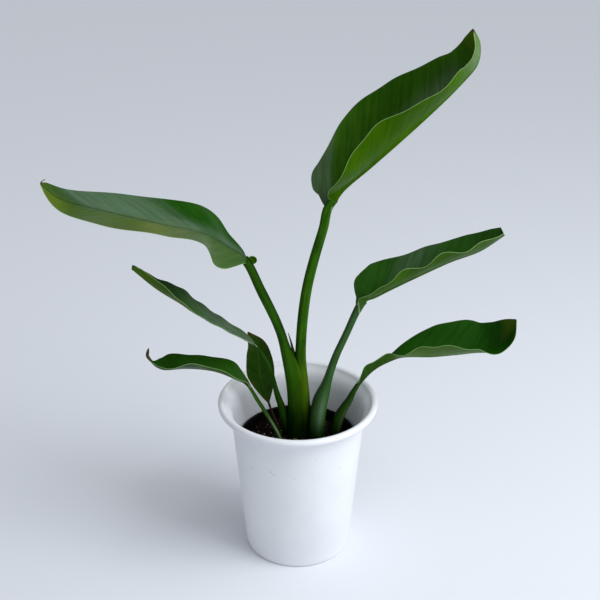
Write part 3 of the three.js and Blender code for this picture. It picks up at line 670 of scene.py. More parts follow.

# One entry for each leaf, in millimetres and degrees. Lists other than paths pair a share of
# the length, from 0 to 1, with a value there.
#   stalk, midrib: points on one curve, from the soil to the joint and on to the tip
#   radius, squash: of the stalk, and its section's breadth as a share of its height
#   width: from the midrib to the edge
#   near, far: the angles at which the two halves rise from the midrib
#   roll, cup: the blade's turn about its midrib, and the curl of each half
#   wave: height, number and phase of the near edge's ripples, and the far edge's share of them
#   lobe: how far the near and the far half reach back past the joint
#   upper, under, stem: the darker and the lighter green of both faces and of the stalk
#   rib: colour of the midrib
#   wax_and_sheen: how much wax the far and the near half have, which sets the coat's gloss;
#   near the top of its range it also paints a pale sheen on the colour
#   dry: the shares of the midrib over which the tip turns brown; past 1 it stays green
#   foot, wax: the heights between which the painted near-black shade on the stalk's foot gives
#   way to green, and its gloss
# Some leaves have more:
#   far_width: from the midrib to the far edge, where it differs from the near one
#   edge: colours of the far and the near margin
#   olive: how much yellow the far and the near half have
#   sheen: more wax on the far half, in a band beside the midrib, and more painted sheen there
#   spots: strength of the small brown spots
#   joint: the shares of the midrib over which the stalk's green gives way to the blade's
#   span: the distance each way over which the midrib's direction is taken
LEAVES = {
    "tall": dict(
        stalk=[(6, 9, 98), (4.3, 9, 146), (2.2, 8, 192), (6.9, 7, 249), (19.4, 6, 305)],
        midrib=[(27, 5, 333), (62, 0, 367), (102, -5, 407), (128.5, -9, 437), (135.5, -11, 449),
                (135.5, -13, 463), (130, -14, 474)],
        radius=[(0, 6.8), (0.12, 6.6), (0.25, 5.9), (0.4, 5), (0.6, 4.9), (0.8, 5), (0.9, 5.3),
                (1, 6)],
        squash=0.9,
        width=[(0, 2), (0.03, 11), (0.08, 26), (0.14, 35.5), (0.25, 43), (0.38, 44), (0.5, 41),
               (0.62, 35), (0.75, 28), (0.84, 21), (0.9, 16.5), (0.95, 10.5), (1, 0.6)],
        far_width=[(0, 9.5), (0.015, 18), (0.04, 25), (0.08, 28), (0.14, 32.5), (0.25, 42),
                   (0.38, 44), (0.5, 41), (0.62, 35), (0.75, 26.5), (0.8, 22.5), (0.84, 22),
                   (0.88, 19.5), (0.92, 15), (0.95, 11), (1, 0.6)],
        near=[(0, 20), (0.17, 22), (0.33, 35), (0.5, 34), (0.67, 22), (0.83, 24), (0.93, 15),
              (1, 10)],
        far=[(0, 80), (0.17, 78), (0.33, 74), (0.83, 70), (1, 60)],
        roll=0, wave=(1.2, 5, 0.1, 0.4), lobe=(4, 7), cup=25,
        upper=((0.012, 0.055, 0.001), (0.04, 0.13, 0.005)),
        under=((0.024, 0.078, 0.0), (0.055, 0.15, 0.0)),
        dry=(0.985, 1.0),
        rib=(0.04, 0.1, 0.02),
        wax_and_sheen=([(0, 1.1), (0.012, 0.5), (0.035, 0.08), (1, 0.05)],
               [(0, 0), (0.75, 0), (0.9, 1), (1, 1)]),
        sheen=[(0, 0), (0.25, 0), (0.45, 1), (0.7, 0.9), (0.82, 0), (1, 0)],
        stem=((0.008, 0.045, 0.001), (0.035, 0.125, 0.003)), foot=(116, 152), wax=0.04,
        olive=([(0, 0), (0.8, 0), (0.92, 0.45), (1, 0.6)], NOTHING),
    ),
    "high_left": dict(
        stalk=[(-3, 7, 98), (-4, 6, 153), (-10, 4, 194), (-16.4, 1, 220), (-29.2, -2, 253)],
        midrib=[(-40.8, -5, 283), (-57, -6, 296), (-78, -8, 309), (-110, -10, 317),
                (-156, -13, 330), (-186, -15, 340), (-199.6, -17, 353), (-199.6, -17, 356),
                (-197, -17, 357.5)],
        radius=[(0, 5.6), (0.2, 5.6), (0.4, 5.4), (0.6, 4.5), (0.8, 4.8), (1, 5.4)],
        squash=0.9,
        width=[(0, 4), (0.05, 17), (0.12, 30), (0.25, 39.5), (0.39, 41), (0.54, 40), (0.665, 37),
               (0.78, 31), (0.88, 22), (0.94, 13), (0.97, 4), (0.98, 1.2), (1, 0.5)],
        near=[(0, -22), (0.1, -18), (0.17, -11), (0.25, 9), (0.4, 11), (0.55, 8), (0.75, 3),
              (1, 0)],
        far=[(0, -10), (0.1, -2), (0.18, 8), (0.28, 11), (0.5, 7), (0.67, 3), (0.83, 0),
             (1, -3)],
        roll=0, wave=(0.4, 4, 0.3, 0.6), lobe=(0, 6), cup=12,
        upper=((0.005, 0.042, 0.001), (0.015, 0.08, 0.004)),
        under=((0.04, 0.13, 0.006), (0.08, 0.2, 0.012)),
        dry=(0.97, 0.98),
        rib=(0.012, 0.03, 0.01),
        wax_and_sheen=([(0, 0), (0.06, 0.3), (0.12, 0), (0.2, 0), (0.26, 0.7), (0.36, 1.25), (0.72, 1.25),
                (0.82, 0.3), (1, 0)],
               [(0, 0.6), (0.3, 1), (0.42, 0.7), (0.55, 0.3), (0.7, 0.6), (0.85, 0.1), (1, 0)]),
        sheen=[(0, 0), (0.08, 0.4), (0.18, 0.9), (0.32, 0.6), (0.45, 0), (1, 0)],
        stem=((0.008, 0.046, 0.001), (0.034, 0.12, 0.003)), foot=(112, 178), wax=0.04,
        olive=([(0, 0), (0.72, 0), (0.85, 0.2), (1, 0.4)],
               [(0, 0.15), (0.25, 0.3), (0.36, 0.65), (0.45, 0.9), (0.56, 0.5), (0.8, 0.35),
                (0.88, 0.75), (1, 0.6)]),
    ),
    "mid_left": dict(
        stalk=[(-9, 11, 98), (-12, 9, 126), (-18, 5, 150), (-22, 1, 172), (-28, -2, 190)],
        midrib=[(-36, -5, 204), (-53, -8, 217), (-81, -13, 238), (-112, -18, 261),
                (-134, -20, 282)],
        radius=[(0, 4.2), (0.2, 4.2), (0.4, 3.2), (0.6, 2.1), (0.8, 2), (1, 2)],
        squash=0.9,
        width=[(0, 2), (0.06, 10), (0.15, 15), (0.3, 18), (0.5, 20), (0.65, 19), (0.8, 15),
               (0.92, 10.5), (0.97, 9), (1, 6.5)],
        near=[(0, 18), (0.17, 16), (0.33, 15), (0.5, 15), (0.67, 26), (0.83, 42), (1, 50)],
        far=[(0, 4), (0.17, 0), (0.33, 1), (0.5, 6), (0.62, 15), (0.75, 12), (0.83, 10), (1, 8)],
        roll=0, wave=(0.4, 6.5, 0.2, 1.3), lobe=(0, 0), cup=20,
        upper=((0.012, 0.045, 0.006), (0.028, 0.085, 0.015)),
        under=((0.03, 0.08, 0.002), (0.06, 0.125, 0.006)),
        dry=(1.02, 1.04),
        rib=(0.06, 0.12, 0.03),
        wax_and_sheen=([(0, 0.9), (0.3, 0.7), (0.5, 0.2), (0.65, 0.1), (1, 0.1)],
               [(0, 0.9), (0.3, 0.6), (0.5, 0.1), (0.65, 0.1), (1, 0)]),
        stem=((0.006, 0.035, 0.001), (0.022, 0.085, 0.003)), foot=(106, 135), wax=0.06,
    ),
    "low_left": dict(
        stalk=[(-13, 3, 98), (-19, 2, 114), (-27, -1, 132), (-35, -4, 149)],
        midrib=[(-43, -8, 167), (-53, -10, 174), (-68, -12, 182), (-83, -14, 186),
                (-97, -15, 187), (-112, -17, 187), (-119, -18, 190), (-124, -19, 196),
                (-127, -20, 202), (-124.5, -21, 209.5)],
        radius=[(0, 2.4), (0.5, 2), (1, 1.9)],
        squash=0.9,
        width=[(0, 2.4), (0.04, 5), (0.09, 10), (0.16, 14.5), (0.3, 17), (0.5, 16.5), (0.61, 16),
               (0.7, 14.5), (0.77, 11), (0.81, 6), (0.84, 3), (0.9, 4.2), (0.95, 3.8), (1, 0.8)],
        near=[(0, 25), (0.17, 26), (0.28, 30), (0.4, 38), (0.5, 40), (0.67, 32), (0.83, 28),
              (1, 20)],
        far=[(0, 45), (0.17, 32), (0.33, 15), (0.5, 15), (0.67, 28), (0.83, 20), (1, 10)],
        roll=0, wave=(0.8, 4, 0.2, 0.6), lobe=(0, 0), cup=20,
        upper=((0.007, 0.042, 0.001), (0.016, 0.076, 0.003)),
        under=((0.012, 0.045, 0.002), (0.035, 0.095, 0.008)),
        dry=(0.83, 0.88),
        rib=(0.06, 0.12, 0.03),
        wax_and_sheen=([(0, 0.05), (1, 0.05)], [(0, 0), (0.35, 0.05), (0.5, 0.6), (0.7, 0.4), (1, 0.1)]),
        stem=((0.012, 0.055, 0.003), (0.045, 0.13, 0.01)), foot=(98, 108), wax=0.15,
    ),
    "small": dict(
        stalk=[(-15, 9, 98), (-16, 9, 108), (-22, 9, 125)],
        midrib=[(-26, 10, 138), (-30, 11, 153), (-33, 12, 167), (-34, 13, 182), (-36, 14, 194),
                (-43, 15, 206)],
        radius=[(0, 1), (0.5, 0.9), (1, 1)],
        squash=1,
        width=[(0, 1), (0.12, 4.8), (0.25, 8.5), (0.4, 11.5), (0.55, 11.5), (0.7, 10), (0.85, 6.5),
               (0.95, 2.8), (1, 0.5)],
        far_width=[(0, 1), (0.12, 6), (0.25, 10.5), (0.4, 13.5), (0.55, 13.5), (0.7, 11.5),
                   (0.85, 7.5), (0.95, 3), (1, 0.5)],
        near=[(0, 20), (1, 5)],
        far=[(0, 20), (1, 5)],
        roll=80, wave=(0.3, 3, 0, 1), lobe=(0, 0), cup=15,
        upper=((0.01, 0.045, 0.001), (0.024, 0.085, 0.004)),
        under=((0.01, 0.045, 0.001), (0.024, 0.085, 0.004)),
        dry=(0.93, 0.98),
        rib=(0.04, 0.09, 0.01),
        wax_and_sheen=([(0, 0.05), (1, 0.1)], [(0, 0.05), (1, 0.1)]),
        stem=((0.03, 0.022, 0.008), (0.11, 0.08, 0.035)), foot=(100, 106), wax=0.0,
        edge=((0.12, 0.06, 0.012), (0.1, 0.12, 0.015)), spots=0.8,
        olive=([(0, 0), (0.8, 0.1), (1, 0.6)], [(0, 0), (0.8, 0.1), (1, 0.6)]),
    ),
    "mid_right": dict(
        stalk=[(17, 3, 98), (17, 3, 118), (19.5, 3, 141), (25, 2, 163), (32, 2, 187.5),
               (41, 1, 211.5)],
        midrib=[(53, 0, 243), (66, -1, 250), (96, -2, 266), (125, -3, 281), (149, -4, 291),
                (168, -5, 305)],
        radius=[(0, 6.8), (0.3, 6.8), (0.36, 6.2), (0.42, 4.9), (0.48, 4.1), (0.6, 3.7),
                (0.78, 3.6), (0.9, 4.2), (1, 5.2)],
        squash=0.75,
        width=[(0, 4), (0.04, 11), (0.1, 15), (0.2, 23), (0.35, 26.5), (0.5, 25), (0.65, 24),
               (0.8, 18.5), (0.9, 15.5), (1, 7)],
        far_width=[(0, 5), (0.02, 10), (0.05, 17.5), (0.08, 21.5), (0.11, 24), (0.15, 26),
                   (0.22, 25.5), (0.35, 23), (0.5, 22), (0.6, 20), (0.7, 19), (0.8, 17.5),
                   (0.92, 13), (1, 8)],
        near=[(0, 38), (0.06, 30), (0.12, 26), (0.2, 36), (0.3, 38), (1, 38)],
        far=[(0, 60), (0.1, 58), (0.2, 52), (0.33, 43), (0.5, 38), (0.67, 36), (0.83, 40),
             (1, 40)],
        roll=0, wave=(2.7, 4, 0.79, 0.1), lobe=(3, 3), cup=30,
        upper=((0.009, 0.045, 0.003), (0.022, 0.085, 0.009)),
        under=((0.02, 0.07, 0.003), (0.045, 0.125, 0.006)),
        dry=(1.0, 1.02),
        rib=(0.06, 0.12, 0.03),
        wax_and_sheen=([(0, 0), (0.14, 0.05), (0.23, 1), (0.4, 1), (0.54, 0.2), (1, 0.1)],
               [(0, 0.2), (0.2, 0), (0.6, 0.15), (1, 0.25)]),
        stem=((0.012, 0.057, 0.007), (0.042, 0.13, 0.023)), foot=(104, 130), wax=0.28,
        span=12,
    ),
    "low_right": dict(
        stalk=[(31, 11, 98), (37.2, 10, 124), (45, 8, 141), (49.6, 6, 153)],
        midrib=[(55, 5, 163), (67, 4, 176), (80, 2, 185), (92, 0, 190), (114, -2, 191),
                (131, -3, 193), (147, -3, 195), (163, -4, 198), (175, -5, 207),
                (181, -6, 217), (184, -6, 228)],
        radius=[(0, 5.6), (0.3, 5.2), (0.55, 4), (0.8, 2.8), (1, 2.3)],
        squash=0.85,
        width=[(0, 2), (0.04, 4.5), (0.09, 8.3), (0.14, 7), (0.2, 7.5), (0.28, 12), (0.4, 23),
               (0.52, 28), (0.65, 29), (0.75, 26), (0.85, 20.5), (0.93, 13.5), (1, 1)],
        near=[(0, 60), (0.12, 78), (0.22, 70), (0.29, 36), (0.38, 48), (0.5, 46), (0.65, 35),
              (0.75, 27), (0.85, 5), (1, -10)],
        far=[(0, 10), (0.2, 10), (0.3, 30), (0.4, 48), (0.55, 52), (0.75, 50), (1, 50)],
        roll=0, wave=(1, 6, 0, 0.3), lobe=(0, 0), cup=20,
        upper=((0.006, 0.045, 0.001), (0.014, 0.082, 0.003)),
        under=((0.035, 0.095, 0.004), (0.065, 0.15, 0.01)),
        dry=(1.0, 1.02),
        rib=(0.02, 0.08, 0.004),
        wax_and_sheen=([(0, 0.1), (1, 0.05)], [(0, 0.1), (0.5, 0.15), (0.8, 0.05), (1, 0.05)]),
        stem=((0.008, 0.045, 0.002), (0.035, 0.11, 0.008)), foot=(104, 126), wax=0.12,
        joint=(0.05, 0.3),
        span=8,
        olive=([(0, 0), (0.8, 0), (0.9, 0.4), (1, 0.5)], [(0, 0), (0.9, 0), (1, 0.4)]),
    ),
}


def along(pairs, share):
    """A smooth curve through (share, value) pairs: between two of them a cubic whose end slopes
    are those of the chords across each pair's neighbours."""
    x, y = np.array(pairs, float).T
    i = np.clip(np.searchsorted(x, share, side="right") - 1, 0, len(x) - 2)
    order = np.arange(len(x))
    before, after = np.maximum(order - 1, 0), np.minimum(order + 1, len(x) - 1)
    slope = (y[after] - y[before]) / (x[after] - x[before])
    h = x[i + 1] - x[i]
    t = (share - x[i]) / h
    ends = y[i] * (2 * t**3 - 3 * t**2 + 1) + y[i + 1] * (3 * t**2 - 2 * t**3)
    return ends + slope[i] * h * (t**3 - 2 * t**2 + t) + slope[i + 1] * h * (t**3 - t**2)


def unit(vectors):
    """The vectors at length 1."""
    return vectors / np.linalg.norm(vectors, axis=-1, keepdims=True)


class Curve:
    """A Catmull-Rom curve through points, read by share of its length. At both ends the row of
    points is carried on by one more, mirrored in the end point."""

    def __init__(self, points):
        points = np.array(points, float)
        self.points = np.vstack([2 * points[0] - points[1], points, 2 * points[-1] - points[-2]])
        self.turns = np.linspace(0, len(points) - 1, CURVE_STATIONS)
        steps = np.linalg.norm(np.diff(self.place(self.turns), axis=0), axis=1)
        self.lengths = np.concatenate([[0], np.cumsum(steps)])
        self.length = self.lengths[-1]

    def place(self, turn):
        """Point at a turn, which counts the given points: the cubic of its four neighbours."""
        i = np.clip(np.floor(turn).astype(int), 0, len(self.points) - 4)
        w = (turn - i)[..., None]
        a, b, c, d = (self.points[i + k] for k in range(4))
        even = 2 * b + (c - a) * w
        return 0.5 * (even + (2 * a - 5 * b + 4 * c - d) * w**2 + (3 * (b - c) + d - a) * w**3)

    def at(self, share):
        """Point and direction at a share of the length."""
        turn = np.interp(share * self.length, self.lengths, self.turns)
        ahead = self.place(np.minimum(turn + 1e-3, self.turns[-1]))
        behind = self.place(np.maximum(turn - 1e-3, 0))
        return self.place(turn), unit(ahead - behind)

    def share_of(self, turn):
        """Share of the length that lies before a turn."""
        return np.interp(turn, self.turns, self.lengths) / self.length


def chord_of(leaf):
    """Direction from a blade's base to its tip."""
    return unit(np.subtract(leaf["midrib"][-1], leaf["midrib"][0]).astype(float))


def upward(leaf):
    """The sign that makes side x direction point up: a leaf's side always faces the front, so
    the sign is 1 where the blade runs to the right and -1 where it runs to the left."""
    return -1 if chord_of(leaf)[0] < 0 else 1


def leaf_axes(leaf, direction):
    """Side and up of a leaf, square to the given directions. The side is level, square to the
    blade's chord and turned to the front; roll turns both about the midrib."""
    chord = chord_of(leaf)
    side = unit(np.array([chord[1], -chord[0], 0.0]))
    side = -side if side[1] > 0 else side
    side = unit(side - direction * (direction @ side)[:, None])
    up = np.cross(side, direction) * upward(leaf)
    roll = math.radians(leaf["roll"])
    return side * math.cos(roll) - up * math.sin(roll), up * math.cos(roll) + side * math.sin(roll)


def with_ends(values):
    """Values of a tube's rings, with those of its two end points added."""
    flat = values.reshape(-1, values.shape[-1])
    return np.vstack([flat, values[0].mean(0), values[-1].mean(0)])


def blade_rings(leaf):
    """Blade as rings across it. At share u of the midrib and share v of the half-width, from -1
    at the far edge to 1 at the near one, the skin's middle is
    midrib + side * out * half + up * (rise * half + ripple * v^2) - direction * lobe * v^2 (1-u)^8,
    where out and rise are those of an arc that starts at the half's angle less half its cup and
    curls by cup. direction joins the points span before and span after u, and turns to that of
    the whole blade towards the tip. A vein leaves the midrib at a slant and bends forward, so the
    veins are numbered by u less a share of the distance from the midrib. The groove, veins and
    pleats lie on the skin and the rib stands below it. Before u = 0 the halves run down the stalk
    as two wings that narrow evenly. Rings crowd at both ends, and columns at both edges."""
    curve = Curve(leaf["stalk"] + leaf["midrib"])
    joint = curve.share_of(len(leaf["stalk"]))
    blade_length = (1 - joint) * curve.length
    start = -WING_LENGTH / blade_length
    t = np.linspace(0, 1, int((blade_length + WING_LENGTH) / BLADE_RING_STEP))
    crowded = (1 - np.cos(np.pi * t)) / 2
    u = start + (1 - start) * (t * (1 - RING_CROWDING) + RING_CROWDING * crowded)
    on_blade = np.clip(u, 0, 1)
    share = joint + (1 - joint) * u
    centre = curve.at(share)[0]
    span = leaf.get("span", 1) / curve.length
    ahead = curve.at(np.clip(share + span, 0, 1))[0]
    behind = curve.at(np.clip(share - span, 0, 1))[0]
    tangent = unit(ahead - behind)
    direction = unit(tangent + (chord_of(leaf) - tangent) * (TIP_LAG * on_blade**6)[:, None])
    side, up = leaf_axes(leaf, direction)

    narrow = np.clip(1 - u / start, WING_NARROWEST, 1)[:, None]
    near_width = along(leaf["width"], on_blade)[:, None]
    far_width = along(leaf.get("far_width", leaf["width"]), on_blade)[:, None]
    columns = 2 * int(max(near_width.max(), far_width.max()) / BLADE_COLUMN_STEP) + 1
    w = np.linspace(-1, 1, columns)
    v = w * (1 - COLUMN_CROWDING) + COLUMN_CROWDING * np.sin(np.pi / 2 * w)
    near = v > 0
    half = np.where(near, near_width * narrow, far_width * narrow)
    near_rise = along(leaf["near"], on_blade)[:, None]
    far_rise = along(leaf["far"], on_blade)[:, None]
    cup = math.radians(leaf["cup"])
    first = np.radians(np.where(near, near_rise, far_rise)) - cup / 2
    last = first + cup * np.abs(v)
    out = (np.sin(last) - np.sin(first)) / cup * np.sign(v)
    rise = (np.cos(first) - np.cos(last)) / cup
    distance = half * np.abs(v)

    wave, count, phase, far_wave = leaf["wave"]
    swell = np.sqrt(np.clip(np.sin(np.pi * on_blade), 0, None))[:, None]
    edge_phase = np.where(near, phase, phase + FAR_RIPPLE_SHIFT)
    edge_wave = np.where(near, 1.0, far_wave) * wave
    ripple = edge_wave * swell * np.sin(2 * np.pi * (count * u[:, None] + edge_phase))
    lobe = np.where(near, *leaf["lobe"]) * v**2 * ((1 - on_blade) ** 8)[:, None]
    lobe = lobe * np.minimum(1, half / 15)
    points = centre[:, None] + side[:, None] * (half * out)[..., None]
    points += up[:, None] * (half * rise + ripple * v**2)[..., None]
    points -= direction[:, None] * lobe[..., None]

    lengthwise = np.gradient(points, axis=0)
    across = np.gradient(points, axis=1)
    normal = unit(np.cross(across, lengthwise)) * upward(leaf)
    vein = u[:, None] * blade_length - VEIN_SLANT * distance - VEIN_BEND * distance**2
    vein += VEIN_WANDER * lattice_noise(vein, distance + 100 * near, 7.0, 21)
    fade = np.clip(half / 12, 0, 1) * np.abs(v) ** 0.4 * (1 - np.abs(v) ** 6)
    pleats = lattice_noise(vein / PLEAT_SPACING * 4, 0.1 * distance + 40 * near, 1.3, 22)
    relief = VEIN_RELIEF * np.cos(2 * np.pi * vein / VEIN_SPACING) + PLEAT_RELIEF * pleats
    groove = GROOVE_DEPTH * np.exp(-((distance / GROOVE_WIDTH) ** 2)) * np.clip(half / 6, 0, 1)
    skin = BLADE_SKIN * np.minimum(1, half / 4) * (1 - 0.6 * np.abs(v) ** 12)
    reach = leaf["radius"][-1][1]
    base = np.exp(-on_blade * blade_length / WING_LENGTH)
    rib_width = RIB_WIDTH + (0.85 * reach * leaf["squash"] - RIB_WIDTH) * base[:, None]
    rib_depth = reach * (along(RIB_TAPER, on_blade) + 0.12 * base)
    rib = rib_depth[:, None] * np.exp(-((distance / rib_width) ** 2))
    upper = points + normal * (skin - groove + relief * fade)[..., None]
    lower = points - normal * (skin + rib - relief * fade)[..., None]
    rings = np.concatenate([upper, lower[:, ::-1]], 1)

    far_share = 1 / (1 + np.exp(np.clip(v * HALF_BLEND, -30, 30)))
    tint = [u[:, None]]
    for far_pairs, near_pairs in (leaf["wax_and_sheen"], leaf.get("olive", (NOTHING, NOTHING))):
        far_tint = along(far_pairs, np.clip(vein / blade_length, 0, 1))
        near_tint = along(near_pairs, on_blade)[:, None]
        tint.append(near_tint + (far_tint - near_tint) * far_share)
    sheen = along(leaf.get("sheen", NOTHING), on_blade)[:, None]
    band = np.exp(-(((distance - SHEEN_DISTANCE) / SHEEN_DISTANCE) ** 2))
    tint[1] = np.clip(tint[1] + sheen * band * (v < 0), 0, WAX_MOST)
    place = [vein, half * v, half * (1 - np.abs(v))]
    spread = {}
    for key, parts in (("blade_place", place), ("blade_tint", tint)):
        layer = np.stack(np.broadcast_arrays(*parts), -1)
        spread[key] = with_ends(np.concatenate([layer, layer[:, ::-1]], 1))
    below = np.concatenate([np.zeros_like(vein), np.ones_like(vein)], 1)
    spread["underside"] = with_ends(below[..., None])[:, 0]
    return rings, spread


def vein_group():
    """Node group for tissue with parallel veins. From a place of (across the veins, along the
    veins) and the veins' spacing, all in millimetres, it makes fine lines, broad bands and a
    height. A vein is a cosine raised to a high power."""
    group, given, made = new_group("leaf_veins", "Spacing", ("Fine", "Broad", "Height"))
    parts = put(group, "ShaderNodeSeparateXYZ", {0: given["Place"]}).outputs
    count = maths(group, "DIVIDE", parts["X"], given["Spacing"])
    slow = maths(group, "MULTIPLY", parts["Y"], 0.03)
    fine_at = put(group, "ShaderNodeCombineXYZ", {0: maths(group, "MULTIPLY", count, 3.0), 1: slow})
    broad_at = put(group, "ShaderNodeCombineXYZ", {0: maths(group, "MULTIPLY", count, 0.3), 1: slow})
    fine = noise(group, fine_at.outputs[0], 1.0, 3.0)
    broad = noise(group, broad_at.outputs[0], 1.0, 2.0)
    line = maths(group, "COSINE", maths(group, "MULTIPLY", count, 2 * math.pi))
    line = maths(group, "MULTIPLY_ADD", line, 0.5, 0.5)
    sharp = maths(group, "POWER", line, 6.0)
    height = maths(group, "MULTIPLY_ADD", sharp, 0.6, maths(group, "MULTIPLY", fine, 0.5))
    group.links.new(stretched(group, fine, 0.3, 0.72), made["Fine"])
    group.links.new(stretched(group, broad, 0.3, 0.7), made["Broad"])
    group.links.new(height, made["Height"])
    return group


def patch_group():
    """Node group for uneven tissue. From a place and a scale it makes soft patches from 0 to 1
    and the plain noise they come from."""
    group, given, made = new_group("tissue_patches", "Scale", ("Patches", "Noise"))
    cloud = noise(group, given["Place"], given["Scale"], 3.0)
    group.links.new(stretched(group, cloud, 0.35, 0.68), made["Patches"])
    group.links.new(cloud, made["Noise"])
    return group


leaf_veins = vein_group()
tissue_patches = patch_group()


def veined(tree, place, spacing):
    """The outputs of the vein group, set to that place and spacing."""
    values = {"Place": place, "Spacing": spacing}
    return put(tree, "ShaderNodeGroup", values, node_tree=leaf_veins).outputs


def patched(tree, place, scale):
    """The outputs of the patch group, set to that place and scale."""
    values = {"Place": place, "Scale": scale}
    return put(tree, "ShaderNodeGroup", values, node_tree=tissue_patches).outputs


def attribute(tree, name, output="Fac"):
    """A mesh attribute's value, or its vector."""
    return put(tree, "ShaderNodeAttribute", attribute_name=name).outputs[output]


def opaque(colour):
    """A colour as four numbers."""
    return (*colour, 1.0)


def lighter(colour):
    """The colour of the fine veins in tissue of that green."""
    return opaque(np.multiply(colour, 1.4))


def waxy_tissue(shader, depth):
    """Constants of leaf tissue: wax as a broad coat, and light that scatters below the skin, to
    that depth in millimetres."""
    for key, value in TISSUE.items():
        shader.inputs[key].default_value = value
    shader.inputs["Subsurface Scale"].default_value = depth * MM


def blade_material(name, leaf):
    """Leaf tissue: two greens in bands along the veins, another pair below, a faint midrib, a
    thin pale near margin that is partly a painted highlight, a brown far one and a dry tip.
    Wax shows as a grey sheen in places through the coat, and where it is thickest a painted
    sheen blends the colour towards a pale blue-green."""
    material = new_material(name, ior=LEAF_IOR)
    tree = material.node_tree
    place = attribute(tree, "blade_place", "Vector")
    tint = attribute(tree, "blade_tint", "Vector")
    below = attribute(tree, "underside")
    where = object_place(tree)
    length_share, wax_and_sheen, olive = put(tree, "ShaderNodeSeparateXYZ", {0: tint}).outputs
    across, edge = put(tree, "ShaderNodeSeparateXYZ", {0: place}).outputs[1:]
    distance = maths(tree, "ABSOLUTE", across)
    veins = veined(tree, place, FINE_VEIN_SPACING)
    patches, patch = patched(tree, where, PATCHES_PER_METRE)

    tone = maths(tree, "MULTIPLY", veins["Broad"], 0.35)
    tone = maths(tree, "MULTIPLY_ADD", patches, 0.65, tone)
    fine = maths(tree, "MULTIPLY", veins["Fine"], 0.2)
    sides = []
    for dark, light in (leaf["upper"], leaf["under"]):
        green = blended(tree, tone, opaque(dark), opaque(light))
        sides.append(blended(tree, fine, green, lighter(light)))
    colour = blended(tree, below, *sides)
    colour = blended(tree, olive, colour, opaque(OLIVE_COLOUR))

    # Painted sheen: where the wax is thickest the colour is blended towards a pale blue-green, as a
    # painted reflection of the sky.
    even_painted_sheen = stretched(tree, wax_and_sheen, PAINTED_SHEEN_FROM, WAX_MOST, 0.0, PAINTED_SHEEN_EVEN)
    streaky_painted_sheen = stretched(tree, wax_and_sheen, PAINTED_SHEEN_FROM, WAX_MOST, 0.0, PAINTED_SHEEN_STREAKY)
    film_and_painted_sheen = maths(tree, "MULTIPLY_ADD", streaky_painted_sheen, veins["Broad"], even_painted_sheen)
    colour = blended(tree, film_and_painted_sheen, colour, opaque(PAINTED_SHEEN_COLOUR))

    stem = blended(tree, tone, *map(opaque, leaf["stem"]))
    on_stem = stretched(tree, length_share, *leaf.get("joint", JOINT_BLEND), 1.0, 0.0)
    colour = blended(tree, on_stem, colour, stem)
    rib = stretched(tree, distance, 0.4, 1.6, 0.7, 0.0)
    rib = maths(tree, "SUBTRACT", rib, below, clamp=True)
    colour = blended(tree, rib, colour, opaque(leaf["rib"]))
    keel = maths(tree, "MULTIPLY", below, stretched(tree, distance, 0.2, 1.0, 0.6, 0.0))
    colour = blended(tree, keel, colour, opaque(KEEL_COLOUR))
    # The near margin's colour is partly pale tissue and partly a painted highlight along the near edge.
    edge_colours = map(opaque, leaf.get("edge", (KEEL_COLOUR, PALE_MARGIN_AND_HIGHLIGHT)))
    margin_colour = blended(tree, stretched(tree, across, -0.5, 0.5), *edge_colours)
    colour = blended(tree, stretched(tree, edge, 0.15, 0.6, 0.75, 0.0), colour, margin_colour)
    if "spots" in leaf:
        spots = noise(tree, where, SPOTS_PER_METRE, 1.0)
        spots = stretched(tree, spots, 0.56, 0.64, 0.0, leaf["spots"])
        spots = maths(tree, "MULTIPLY", spots, stretched(tree, edge, 1.0, 4.5, 1.0, 0.05))
        colour = blended(tree, spots, colour, opaque(DRY_COLOUR))
    ragged = maths(tree, "MULTIPLY_ADD", patch, 0.04, maths(tree, "SUBTRACT", length_share, 0.02))
    dry = stretched(tree, ragged, *leaf["dry"])
    colour = blended(tree, dry, colour, opaque(DRY_COLOUR))

    dull = stretched(tree, patch, 0.3, 0.7, 0.34, 0.44)
    wax = maths(tree, "MULTIPLY", wax_and_sheen, stretched(tree, patch, 0.3, 0.6, 0.8, 1.0))
    wax = maths(tree, "MULTIPLY", wax, stretched(tree, veins["Broad"], 0.0, 1.0, 0.7, 1.0))
    feed(
        material,
        base_color=colour,
        roughness=maths(tree, "MAXIMUM", dull, maths(tree, "MULTIPLY", dry, 0.75)),
        coat_weight=maths(tree, "SUBTRACT", wax, dry, clamp=True),
        height=(veins["Height"], 0.35, 0.08),
    )
    waxy_tissue(tree.nodes["Principled BSDF"], BLADE_GLOW_DEPTH)
    return material


for name, leaf in LEAVES.items():
    rings, spread = blade_rings(leaf)
    material = blade_material(f"blade_{name}", leaf)
    blade = add_mesh(f"leaf_blade_{name}", *closed_tube(rings), material, spread)
    blade.data.set_sharp_from_angle(angle=SHARP_EDGE)
    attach(blade, "root")
    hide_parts(f"blade_{name}")

# Leaf ear: the far half of the upper left blade ends at the stalk in a small green ear that
# curls over to the right of the joint. It is of the same tissue as the blade.
EAR_CENTRE = (-37.2, 1.5, 280.2)
EAR_LONG = np.array([3.9, -0.6, -0.6])
EAR_SHORT = np.array([-0.8, -1.2, -3.1])
EAR_CUP = 1.3
EAR_SKIN = 0.35
EAR_INNERMOST = 0.04
EAR_REACH = 4.0
EAR_SIDES = 40

